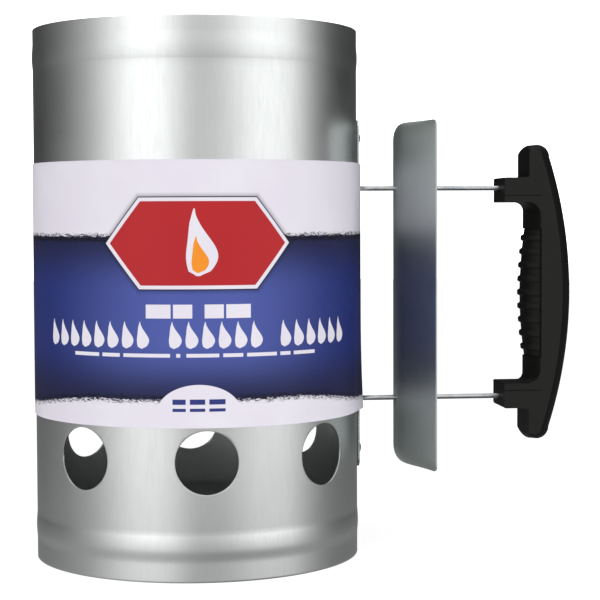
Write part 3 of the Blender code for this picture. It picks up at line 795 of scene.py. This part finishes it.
def bead(z, centre, crisp_side):
    """A rolled bead: a crisp crease at one end and a soft run-out at the other."""
    share = crisp_side * (z - centre) / (BEAD_SPAN / 2)
    if abs(share) >= 1:
        return 0.0
    if share > 0:
        return BEAD_DEPTH * (1 - share**2)
    return BEAD_DEPTH * (1 + math.cos(math.pi * share)) / 2


def seam_drop(angle):
    """How far the sheet dips where its other end laps over it."""
    turn = (SEAM_ANGLE - angle + math.pi) % (2 * math.pi) - math.pi
    if 0 < turn < SEAM_BLEND:
        return SEAM_DROP * (1 - turn / SEAM_BLEND) ** 2
    return 0.0


def wall_point(girth, z):
    """The sheet's outer face, with its beads, its seam and a slight unevenness."""
    angle = girth / TUBE_RADIUS
    radius = TUBE_RADIUS + bead(z, BASE_BEAD_Z, 1) + bead(z, RIM_BEAD_Z, -1) - seam_drop(angle)
    place = Vector(polar(TUBE_RADIUS, angle, z * 0.6)) / WAVE_LENGTH
    calm = smoothstep(0, 12 * MM, min(z, TUBE_HEIGHT - z))
    radius -= WAVE * calm * (0.5 + 0.5 * noise.noise(place))
    return polar(radius, angle, z)


def wall_columns():
    """Girth positions of the wall's columns, with a close pair at the seam's edge."""
    seam = SEAM_ANGLE + 2 * math.pi
    angles = turns(COLUMN_COUNT) + [seam - math.radians(0.02), seam]
    return [angle * TUBE_RADIUS for angle in sorted(angles)]


def wall_rows():
    """Heights of the wall's rows, close in the beads and round the vents, and the vents' middle row."""
    column = 2 * math.pi * TUBE_RADIUS / COLUMN_COUNT
    patch = VENT_REACH * column
    half = BEAD_SPAN / 2
    rows = steps_between(0, BASE_BEAD_Z - half, 1.0 * MM)
    rows += steps_between(BASE_BEAD_Z - half, BASE_BEAD_Z + half, 0.7 * MM)
    rows += steps_between(BASE_BEAD_Z + half, VENT_Z - patch, 2.5 * MM)
    vent_row = len(rows) + VENT_REACH
    rows += [VENT_Z + column * i for i in range(-VENT_REACH, VENT_REACH)]
    rows += steps_between(VENT_Z + patch, RIM_BEAD_Z - half, 4.0 * MM)
    rows += steps_between(RIM_BEAD_Z - half, RIM_BEAD_Z + half, 0.7 * MM)
    rows += steps_between(RIM_BEAD_Z + half, TUBE_HEIGHT, 1.0 * MM)
    return rows + [TUBE_HEIGHT], vent_row


def fastener_holes(steps):
    """Cutters for the rivets' and the wire's holes."""
    places = [(radius, side * rise) for radius, rise in FASTENERS for side in (1, -1)]
    return [drill(radius + GAP, 12 * MM, along_x(TUBE_RADIUS, rise), steps) for radius, rise in places]


def build_wall(material):
    columns = wall_columns()
    rows, vent_row = wall_rows()
    holes = [(angle * COLUMN_COUNT // 360, vent_row, VENT_REACH, VENT_RADIUS) for angle in VENT_ANGLES]
    bm = bmesh.new()
    pierced_grid(bm, columns, rows, holes, wall_point, closed=True)
    wall = to_object("tube_wall", bm)
    solidify(wall, SHEET, -1)
    round_edges(wall, EDGE_ROUND)
    cut(wall, fastener_holes(24))
    show(wall, "chimney_body", material)


def build_lap(material):
    """The sheet's other end, lapped inside the wall along the seam."""
    outer = TUBE_RADIUS - SHEET - LAP_GAP
    angles = [SEAM_ANGLE * (1 - 2 * i / 12) for i in range(13)]
    section = [(outer, angle) for angle in angles] + [(outer - SHEET, angle) for angle in angles[::-1]]
    top = TUBE_HEIGHT - LAP_INSET
    heights = steps_between(LAP_INSET, top, 6 * MM) + [top]
    rows = [[polar(radius, angle, z) for radius, angle in section] for z in heights]
    lap = capped("tube_lap_seam", rows)
    cut(lap, fastener_holes(24))
    round_edges(lap, LAP_ROUND)
    show(lap, "chimney_body", material)


# ---------- sleeve ----------


def corner_curve(before, corner, after, reach, steps):
    """A round turn from one straight run to the next."""
    start = corner + (before - corner).normalized() * reach
    end = corner + (after - corner).normalized() * reach
    points = []
    for i in range(steps + 1):
        t = i / steps
        points.append(start * (1 - t) ** 2 + corner * 2 * t * (1 - t) + end * t**2)
    return points


def sleeve_outline(lift):
    """The sleeve's inner outline: round the tube, then straight to the strap's corners and across it."""
    radius = TUBE_RADIUS + GAP
    corner = Vector((STRAP_FACE_X + GAP + lift, STRAP_HALF_WIDTH + GAP))
    mirrored = Vector((corner.x, -corner.y))
    tangent_angle = math.atan2(corner.y, corner.x) + math.acos(radius / corner.length)
    sweep = 2 * math.pi - 2 * tangent_angle
    points = []
    for i in range(361):
        angle = tangent_angle + sweep * i / 360
        into_glue = min(angle - GLUE_START, GLUE_START + GLUE_WIDTH - angle)
        reach = radius + GLUE_RISE * smoothstep(0, GLUE_EDGE, into_glue)
        points.append(Vector((reach * math.cos(angle), reach * math.sin(angle))))
    run = points[-1]
    points += [run.lerp(mirrored, share) for share in (0.25, 0.5, 0.75)]
    points += corner_curve(run, mirrored, corner, SLEEVE_CORNER, 5)
    points += [mirrored.lerp(corner, i / 8) for i in range(2, 7)]
    points += corner_curve(mirrored, corner, points[0], SLEEVE_CORNER, 5)
    points += [corner.lerp(points[0], share) for share in (0.25, 0.5, 0.75)]
    return points


def build_sleeve(material):
    heights = steps_between(SLEEVE_BASE, SLEEVE_TOP, 3 * MM) + [SLEEVE_TOP]
    rows = []
    for z in heights:
        lift = FLARE * max(0.0, (FLARE_TOP - z) / (FLARE_TOP - SLEEVE_BASE)) ** 2
        rows.append([(point.x, point.y, z) for point in sleeve_outline(lift)])
    bm = bmesh.new()
    skin(bm, rows)
    sleeve = to_object("printed_sleeve", bm)
    solidify(sleeve, PAPER, 1)
    round_edges(sleeve, PAPER_ROUND)
    places = [along_x(STRAP_FACE_X + 2 * MM, side * ARM_RISE) for side in (1, -1)]
    cut(sleeve, [drill(SLEEVE_HOLE_RADIUS, 8 * MM, place, 40) for place in places])
    show(sleeve, "label_sleeve", material)


# ---------- strap, rivets and wire ----------


def build_strap(material):
    outline = rounded_rectangle(STRAP_HALF_WIDTH, STRAP_HALF_LENGTH, STRAP_CORNER)
    thickness = STRAP_FACE_X - STRAP_X
    strap = plate("strap_plate", outline, thickness, facing_x(STRAP_X + thickness / 2))
    cut(strap, fastener_holes(32))
    round_edges(strap, STRAP_ROUND)
    show(strap, "mounting_strap", material)


def rivet_profile():
    dome_radius = (RIVET_HEAD**2 + RIVET_DOME**2) / (2 * RIVET_DOME)
    edge_angle = math.degrees(math.asin(RIVET_HEAD / dome_radius))
    dome = [(z, x) for x, z in arc(RIVET_DOME - dome_radius, 0, dome_radius, 0, edge_angle, 12)]
    dome[0] = (0, RIVET_DOME)
    grip = STRAP_FACE_X - STRAP_X + 3 * GAP + LAP_DEPTH
    tail = -grip - RIVET_TAIL_HEIGHT
    tail_round = [(RIVET_TAIL - 0.5 * MM + x, tail + 0.5 * MM + y) for x, y in arc(0, 0, 0.5 * MM, 0, -90, 4)]
    return dome + [(RIVET_SHANK, 0.0), (RIVET_SHANK, -grip), (RIVET_TAIL, -grip)] + tail_round + [(0, tail)]


def build_rivets(material):
    for name, side in (("upper", 1), ("lower", -1)):
        rivet = turned(f"rivet_{name}", rivet_profile(), along_x(STRAP_FACE_X + GAP, side * RIVET_RISE), 64)
        show(rivet, f"strap_rivet_{name}", material)


def wire_stations():
    """(x, rise, radius) along the upper half of the wire: head, tenon, shoulder, arm and corner."""
    shoulder = STRAP_FACE_X + GAP
    head_back = TUBE_RADIUS - LAP_DEPTH - GAP
    tip = head_back - WIRE_HEAD
    ends = [
        (tip, 0.01 * MM),
        (tip + 0.05 * MM, 0.5 * WIRE_HEAD_RADIUS),
        (tip + 0.15 * MM, 0.8 * WIRE_HEAD_RADIUS),
        (tip + 0.4 * MM, WIRE_HEAD_RADIUS),
        (head_back - 0.02 * MM, WIRE_HEAD_RADIUS),
        (head_back, TENON_RADIUS),
        (shoulder - 0.02 * MM, TENON_RADIUS),
        (shoulder, WIRE_RADIUS - 0.15 * MM),
        (shoulder + 0.15 * MM, WIRE_RADIUS),
    ]
    corner = arc(WIRE_BACK_X - WIRE_CORNER, ARM_RISE - WIRE_CORNER, WIRE_CORNER, 90, 0, 16)
    stations = [(x, ARM_RISE, radius) for x, radius in ends]
    stations += [(x, ARM_RISE, WIRE_RADIUS) for x in (100 * MM, 130 * MM, 160 * MM)]
    return stations + [(x, rise, WIRE_RADIUS) for x, rise in corner]


def build_wire(material):
    upper = wire_stations()
    stations = upper + [(x, -rise, radius) for x, rise, radius in reversed(upper)]
    rows = []
    for i, (x, rise, radius) in enumerate(stations):
        before = Vector(stations[max(i - 1, 0)][:2])
        after = Vector(stations[min(i + 1, len(stations) - 1)][:2])
        forward = (after - before).normalized()
        side = Vector((-forward.y, 0, forward.x))
        ring = []
        for turn in turns(32):
            offset = side * math.cos(turn) + Vector((0, math.sin(turn), 0))
            ring.append(Vector((x, 0, rise)) + offset * radius)
        rows.append(ring)
    wire = capped("wire_frame", rows, TO_FITTING, 50)
    show(wire, "handle_wire", material)


# ---------- heat shield ----------


def shield_section(y):
    """The shield's sweep towards the handle, y away from its middle: a round crown and straight wings."""
    y = abs(y)
    crown_end = SHIELD_CROWN_RADIUS * math.sin(SHIELD_SWEEP)
    if y <= crown_end:
        return SHIELD_CROWN_RADIUS - math.sqrt(SHIELD_CROWN_RADIUS**2 - y**2)
    return SHIELD_CROWN_RADIUS * (1 - math.cos(SHIELD_SWEEP)) + (y - crown_end) * math.tan(SHIELD_SWEEP)


def shield_end_draw(y, rise):
    """How far the crown is pressed back near the top and bottom edges, fading out towards the wings."""
    from_end = (SHIELD_HALF_HEIGHT - abs(rise)) / SHIELD_END_BAND
    if from_end >= 1:
        return 0.0
    return SHIELD_END_DRAW * (1 - math.sqrt(1 - (1 - from_end) ** 2)) * (1 - (y / SHIELD_HALF_WIDTH) ** 2)


def shield_point(across, rise):
    """across runs from -1 to 1 over the shield's width, which narrows in the rounded corners."""
    from_end = SHIELD_HALF_HEIGHT - abs(rise)
    half_width = SHIELD_HALF_WIDTH
    if from_end < SHIELD_CORNER:
        half_width -= SHIELD_CORNER - math.sqrt(max(0.0, SHIELD_CORNER**2 - (SHIELD_CORNER - from_end) ** 2))
    y = across * half_width / SHIELD_HALF_WIDTH
    from_hole = math.hypot(y, abs(rise) - ARM_RISE)
    dimple = DIMPLE_DEPTH * (1 - smoothstep(WIRE_RADIUS + GAP, DIMPLE_RADIUS, from_hole))
    return SHIELD_CROWN_X + shield_section(y) + shield_end_draw(y, rise) + dimple, y, rise


def build_shield(material):
    cell = 1.0 * MM
    reach = 6
    columns = [SHIELD_HALF_WIDTH * i / 40 for i in range(-40, 41)]
    edge = [SHIELD_HALF_HEIGHT - SHIELD_CORNER * (1 - math.cos(math.pi / 2 * i / 8)) for i in range(8)]
    upper = edge + steps_between(SHIELD_HALF_HEIGHT - SHIELD_CORNER, ARM_RISE + reach * cell, -1.0 * MM)
    upper += [ARM_RISE + cell * i for i in range(reach, -reach, -1)]
    upper += steps_between(ARM_RISE - reach * cell, 0.0, -3.0 * MM)
    rows = [-rise for rise in upper] + [0.0] + upper[::-1]
    middle = len(columns) // 2
    holes = [(middle, rows.index(sign * ARM_RISE), reach, WIRE_RADIUS + GAP) for sign in (-1, 1)]
    bm = bmesh.new()
    pierced_grid(bm, columns, rows, holes, shield_point)
    shield = to_object("shield_plate", bm, TO_FITTING)
    if shield.data.polygons[0].normal.x > 0:
        shield.data.flip_normals()
    solidify(shield, SHIELD_THICKNESS, -1)
    round_edges(shield, EDGE_ROUND)
    show(shield, "heat_shield", material)


# ---------- handle ----------


def bow_x(rise, roundness):
    """The handle's bowed outer side."""
    sagitta = BOW_RADIUS - math.sqrt(BOW_RADIUS**2 - rise**2)
    return HANDLE_REACH - sagitta - OUTER_ROUND * roundness


def panel_x(rise, share):
    """The finger side's panel: a bowed floor with rounded ribs, which ends in a wall near the side face."""
    if share > PANEL_REACH:
        return SIDE_EDGE_X
    phase = abs(rise / RIB_PITCH - round(rise / RIB_PITCH))
    if abs(rise) > RIB_COUNT / 2 * RIB_PITCH:
        phase = 0.5
    floor = PANEL_X + PANEL_BOW * (rise / PANEL_HALF_LENGTH) ** 2
    floor += (SIDE_EDGE_X - floor) * side_roundness(share / PANEL_REACH)
    return floor - RIB_DEPTH * (1 - smoothstep(RIB_CREST, RIB_FLOOR, phase))


def grip_x(rise, roundness, share):
    plain = GRIP_X + (SIDE_EDGE_X - GRIP_X) * roundness
    return plain if abs(rise) > PANEL_HALF_LENGTH else panel_x(rise, share)


def side_roundness(share):
    """0 at the parting plane and 1 at the side face, along an arc."""
    full = SIDE_BULGE - math.sqrt(SIDE_BULGE**2 - HANDLE_HALF_WIDTH**2)
    return (SIDE_BULGE - math.sqrt(SIDE_BULGE**2 - (share * HANDLE_HALF_WIDTH) ** 2)) / full


def nub_outline(share):
    """The knob at the handle's end: a large outer round, a small inner one, and a straight inner side."""
    radius = (bow_x(NUB_RISE, side_roundness(share)) - NUB_X) / 2
    corner = 0.45 * radius
    points = arc(NUB_X + radius, NUB_RISE, radius, 0, 90, 14)
    points += arc(NUB_X + corner, NUB_RISE + radius - 0.4 * MM - corner, corner, 100, 180, 8)
    return points + [(NUB_X, POST_TOP + 3 * MM), (NUB_X, POST_TOP + 1 * MM)]


def handle_outline(share):
    """The handle's outline as (x, rise), at a share of the way from the parting plane to the side."""
    roundness = side_roundness(share)
    fillet = FILLET + FILLET_GAIN * roundness
    grip_edge = GRIP_X + (SIDE_EDGE_X - GRIP_X) * roundness
    upper = [(bow_x(NUB_RISE * i / 30, roundness), NUB_RISE * i / 30) for i in range(1, 30)]
    upper += nub_outline(share)
    upper += [(NUB_X - (1 - math.cos(a)) * MM, POST_TOP + (1 - math.sin(a)) * MM) for a in (0.5, 1.0)]
    upper += [(NUB_X - 3 * MM, POST_TOP), (POST_X + 6 * MM, POST_TOP)]
    upper += arc(POST_X + POST_CORNER, POST_TOP - POST_CORNER, POST_CORNER, 90, 180, 5)
    upper += arc(POST_X + POST_CORNER / 2, POST_BASE + POST_CORNER / 2, POST_CORNER / 2, 180, 270, 4)
    upper += arc(grip_edge - fillet, POST_BASE - fillet, fillet, 90, 0, 10)
    rises = [PANEL_HALF_LENGTH + 0.15 * MM, PANEL_HALF_LENGTH]
    rises += [RIB_PITCH * i / 24 for i in range(int(PANEL_HALF_LENGTH / RIB_PITCH * 24), 0, -1)]
    upper += [(grip_x(rise, roundness, share), rise) for rise in rises]
    outer, inner = (bow_x(0, roundness), 0), (grip_x(0, roundness, share), 0)
    return [outer] + upper + [inner] + [(x, -rise) for x, rise in reversed(upper)]


def inset(points, distance):
    """Moves each point of an anticlockwise loop inwards along the mean normal of its two edges."""
    moved = []
    for i, point in enumerate(points):
        before, after = Vector(points[i - 1]), Vector(points[(i + 1) % len(points)])
        here = Vector(point)
        edge = (here - before).normalized() + (after - here).normalized()
        normal = Vector((-edge.y, edge.x)).normalized()
        moved.append(tuple(here + normal * distance))
    return moved


def handle_sections():
    """(depth from the parting plane, outline) of each section of a handle half."""
    shares = [0.1 * i for i in range(1, 8)] + [0.78, 0.84, PANEL_REACH, PANEL_REACH + 0.01, 0.92, 0.96, 0.985]
    sections = [(PARTING_GAP / 2, handle_outline(0.0))]
    sections += [(share * HANDLE_HALF_WIDTH, handle_outline(share)) for share in shares]
    sections.append((HANDLE_HALF_WIDTH, inset(handle_outline(1.0), SIDE_CHAMFER)))
    return sections


def build_handle_half(name, node, side, material):
    rows = [[(x, side * depth, rise) for x, rise in outline] for depth, outline in handle_sections()]
    half = capped(name, rows, TO_FITTING, 32)
    cut(half, handle_cutters(side))
    for polygon in half.data.polygons:
        # Every polygon with this many corners lies in the flat parting face or the flat side face.
        if len(polygon.vertices) > 40:
            polygon.use_smooth = False
    show(half, node, material)


def groove(side, sign):
    """The fine groove across one post's side face."""
    depths = (side * (HANDLE_HALF_WIDTH - GROOVE_DEPTH), side * (HANDLE_HALF_WIDTH + 1 * MM))
    low = (POST_X - 1 * MM, min(depths), sign * GROOVE_RISE - GROOVE_WIDTH / 2)
    high = (GRIP_X + 7 * MM, max(depths), sign * GROOVE_RISE + GROOVE_WIDTH / 2)
    return mill(low, high, TO_FITTING)


def handle_cutters(side):
    """The wire's channel, the grooves on the posts, and the screws' holes."""
    cutters = []
    channel = WIRE_RADIUS + GAP
    for sign in (1, -1):
        cutters.append(drill(channel, 34 * MM, along_x(POST_X + 12 * MM, sign * ARM_RISE), 32))
        cutters.append(groove(side, sign))
    place = TO_FITTING @ Matrix.Translation((WIRE_BACK_X, 0, 0))
    cutters.append(drill(channel, 2 * ARM_RISE + 2.4 * MM, place, 32))
    for x, rise in SCREW_PLACES.values():
        centre = TO_FITTING @ Matrix.Translation((x, 0, rise))
        cutters.append(drill(SCREW_SHANK + GAP, 2 * SCREW_DEPTH + 2 * MM, centre @ TO_FAR_SIDE, 24))
        if side > 0:
            seat = centre @ Matrix.Translation((0, SCREW_SEAT + 10 * MM, 0)) @ TO_FAR_SIDE
            cutters.append(drill(SCREW_HEAD + GAP, 20 * MM, seat, 48))
    return cutters


def screw_profile():
    """The screw's outline: its head stands on Z = 0, and its ringed shank runs down from there."""
    top = SCREW_HEAD_HEIGHT
    crown = [(0.0, top)] + [(SCREW_HEAD * s, top - 0.5 * MM * s**4) for s in (0.3, 0.6, 0.8, 0.92, 1.0)]
    start = -1.0 * MM
    tip = -SCREW_SEAT - SCREW_DEPTH
    pitch = (tip + 2 * MM - start) / SCREW_THREADS
    thread = []
    for i in range(SCREW_THREADS):
        z = start + pitch * i
        thread += [(SCREW_SHANK * 0.78, z), (SCREW_SHANK, z + pitch * 0.45), (SCREW_SHANK, z + pitch * 0.6)]
    return crown + [(SCREW_HEAD, 0.0), (SCREW_SHANK, 0.0)] + thread + [(0.2 * MM, tip), (0.0, tip)]


def build_screws(material):
    for name, (x, rise) in SCREW_PLACES.items():
        place = TO_FITTING @ Matrix.Translation((x, SCREW_SEAT + GAP, rise)) @ TO_FAR_SIDE
        screw = turned(f"grip_screw_{name}", screw_profile(), place, 48)
        cutters = []
        for i in range(2):
            arm = place @ Matrix.Rotation(math.pi / 2 * i + math.pi / 4, 4, "Z")
            low = (-1.5 * MM, -0.28 * MM, SCREW_HEAD_HEIGHT - 1.0 * MM)
            high = (1.5 * MM, 0.28 * MM, SCREW_HEAD_HEIGHT + 1.0 * MM)
            cutters.append(mill(low, high, arm))
        cut(screw, cutters)
        show(screw, f"handle_screw_{name}", material)


# ---------- grate ----------


def build_grate(wire_material, clip_material):
    section = arc(GRATE_RING_RADIUS, GRATE_RING_Z, GRATE_WIRE, 90, -255, 23)
    ring = turned("grate_ring_wire", section, TO_AXIS, 192, closed=True)
    show(ring, "grate_ring", wire_material)
    height = GRATE_RING_Z + 2 * GRATE_WIRE + GAP
    for i in range(BAR_COUNT):
        x = (i - (BAR_COUNT - 1) / 2) * BAR_PITCH
        half = math.sqrt(BAR_END_RADIUS**2 - x**2)
        end = [(GRATE_WIRE - 0.3 * MM + dx, half - 0.3 * MM + dy) for dx, dy in arc(0, 0, 0.3 * MM, 90, 0, 3)]
        profile = [(0, half)] + end + [(r, -z) for r, z in reversed(end)] + [(0, -half)]
        place = TO_AXIS @ Matrix.Translation((x, 0, height)) @ TO_NEAR_SIDE
        bar = turned(f"grate_bar_wire_{i + 1}", profile, place, 24)
        show(bar, f"grate_bar_{i + 1}", wire_material)
    build_clips(clip_material)


def clip_outline():
    """The folded clip's section: a leg on the wall, and two arms that close above and below the ring."""
    wall = TUBE_RADIUS - SHEET - GAP
    leg = wall - CLIP_SHEET
    ring_low = GRATE_RING_Z - GRATE_WIRE - GAP
    ring_high = GRATE_RING_Z + GRATE_WIRE + GAP
    return [
        (wall, ring_low - CLIP_SHEET),
        (wall, CLIP_TOP),
        (leg, CLIP_TOP),
        (leg, ring_high + CLIP_SHEET),
        (CLIP_REACH, ring_high + CLIP_SHEET),
        (CLIP_REACH, ring_high),
        (leg, ring_high),
        (leg, ring_low),
        (CLIP_REACH, ring_low),
        (CLIP_REACH, ring_low - CLIP_SHEET),
    ]


def build_clips(material):
    for i, angle in enumerate(CLIP_ANGLES):
        place = TO_AXIS @ Matrix.Rotation(math.radians(angle), 4, "Z") @ TO_NEAR_SIDE
        clip = plate(f"ring_clip_{i + 1}", clip_outline(), CLIP_WIDTH, place)
        round_edges(clip, CLIP_ROUND, 3)
        show(clip, f"grate_clip_{i + 1}", material)


# ---------- stage ----------


def build_camera():
    camera = bpy.data.objects.new("camera", bpy.data.cameras.new("camera"))
    camera.data.lens = CAMERA_LENS
    camera.data.sensor_width = 36.0
    turn = Matrix.Rotation(CAMERA_TURN, 4, "Z")
    pitch = Matrix.Rotation(math.pi / 2 + CAMERA_PITCH, 4, "X")
    roll = Matrix.Rotation(CAMERA_ROLL, 4, "Z")
    camera.matrix_world = Matrix.Translation(CAMERA_PLACE) @ turn @ pitch @ roll
    bpy.context.scene.collection.objects.link(camera)
    bpy.context.scene.camera = camera


def stage_material(name, colour, emission):
    graph = Graph(name, Roughness=0.9, Emission_Strength=emission, Specular_IOR_Level=0.0)
    cloud = graph.noise(graph.place(), 2.0)
    mottle = graph.spread(cloud, 0.3, 0.7, 0.0, 0.1)
    graph.paint("Base Color", graph.blend(mottle, colour, rgb(235, 235, 235)))
    graph.shader.inputs["Emission Color"].default_value = (1, 1, 1, 1)
    return graph.material


def disc(name, radius, place, material):
    bm = bmesh.new()
    bmesh.ops.create_circle(bm, cap_ends=True, radius=radius, segments=96)
    obj = to_object(name, bm, Matrix.Translation(place))
    obj.data.materials.append(material)
    return obj


def build_stage():
    floor_paint = stage_material("floor_paint", FLOOR_COLOUR, FLOOR_GLOW)
    floor = disc("floor", FLOOR_RADIUS, (0, 0, -0.05 * MM), floor_paint)
    floor.visible_glossy = False
    # A dark grey disc inside the tube's foot: painted shade on the floor where the tube keeps the light out.
    painted_shade_paint = stage_material("painted_shade_paint", rgb(40, 40, 40), 0.0)
    unlit = disc("painted_shade_floor", TUBE_RADIUS - SHEET, (AXIS_X, 0, -0.02 * MM), painted_shade_paint)
    bm = bmesh.new()
    skin(bm, [[polar(BACKDROP_RADIUS, angle, z) for angle in turns(96)] for z in (-0.1, BACKDROP_TOP)])
    backdrop = to_object("backdrop", bm, Matrix.Identity(4))
    backdrop.data.materials.append(stage_material("backdrop_paint", rgb(255, 255, 255), 1.0))
    backdrop.visible_glossy = False
    backdrop.visible_diffuse = False
    backdrop.visible_shadow = False


def tent_stops(levels):
    """Ramp stops of (degrees, light) pairs."""
    return [(0.5 + angle / 360, (light, light, light, 1)) for angle, light in levels]


def build_light():
    """A soft light tent: bright to the front left and front right, dimmer between them, dark behind."""
    world = bpy.data.worlds.new("light_tent")
    world.use_nodes = True
    nodes = Nodes(world.node_tree)
    x, y, z = nodes.split(nodes.add("ShaderNodeTexCoord", {}).outputs["Generated"])
    azimuth = nodes.math("ARCTAN2", x, nodes.times(y, -1.0))
    azimuth = nodes.plus(azimuth, TENT_TURN)
    share = nodes.plus(nodes.over(azimuth, 2 * math.pi), 0.5)
    share = nodes.math("FRACT", share)
    wall = nodes.ramp(share, tent_stops(TENT_WALL))
    low = nodes.ramp(share, tent_stops(TENT_LOW))
    low = nodes.blend(nodes.spread(z, -0.42, 0.06, 1.0, 0.0), wall, low)
    deep = nodes.blend(nodes.spread(z, -0.9, -0.5, 1.0, 0.0), low, (TENT_DEEP,) * 3 + (1,))
    roof = nodes.blend(nodes.spread(z, 0.45, 0.9), deep, (TENT_ROOF,) * 3 + (1,))
    background = world.node_tree.nodes["Background"]
    nodes.feed(background.inputs["Color"], roof)
    background.inputs["Strength"].default_value = TENT_STRENGTH
    bpy.context.scene.world = world
    bpy.context.scene.view_settings.view_transform = "Standard"


# ---------- assembly ----------

build_camera()
build_stage()
build_light()

sheet_steel = galvanised_material("galvanised_sheet", wrapped_grain, 0.3, SHEET_TONES)
shield_steel = galvanised_material("galvanised_shield", upright_grain, 0.46, SHIELD_TONES)
plated = plated_material("zinc_plating", PLATING_TONES, 0.26)
bare_wire = plated_material("grate_wire_steel", GRATE_TONES, 0.36)
plastic = plastic_material()
paper = paper_material()

build_wall(sheet_steel)
build_lap(sheet_steel)
build_sleeve(paper)
build_strap(plated)
build_rivets(plated)
build_wire(plated)
build_shield(shield_steel)
build_handle_half("grip_half_near", "handle_half_near", -1, plastic)
build_handle_half("grip_half_far", "handle_half_far", 1, plastic)
build_screws(plated)
build_grate(bare_wire, sheet_steel)
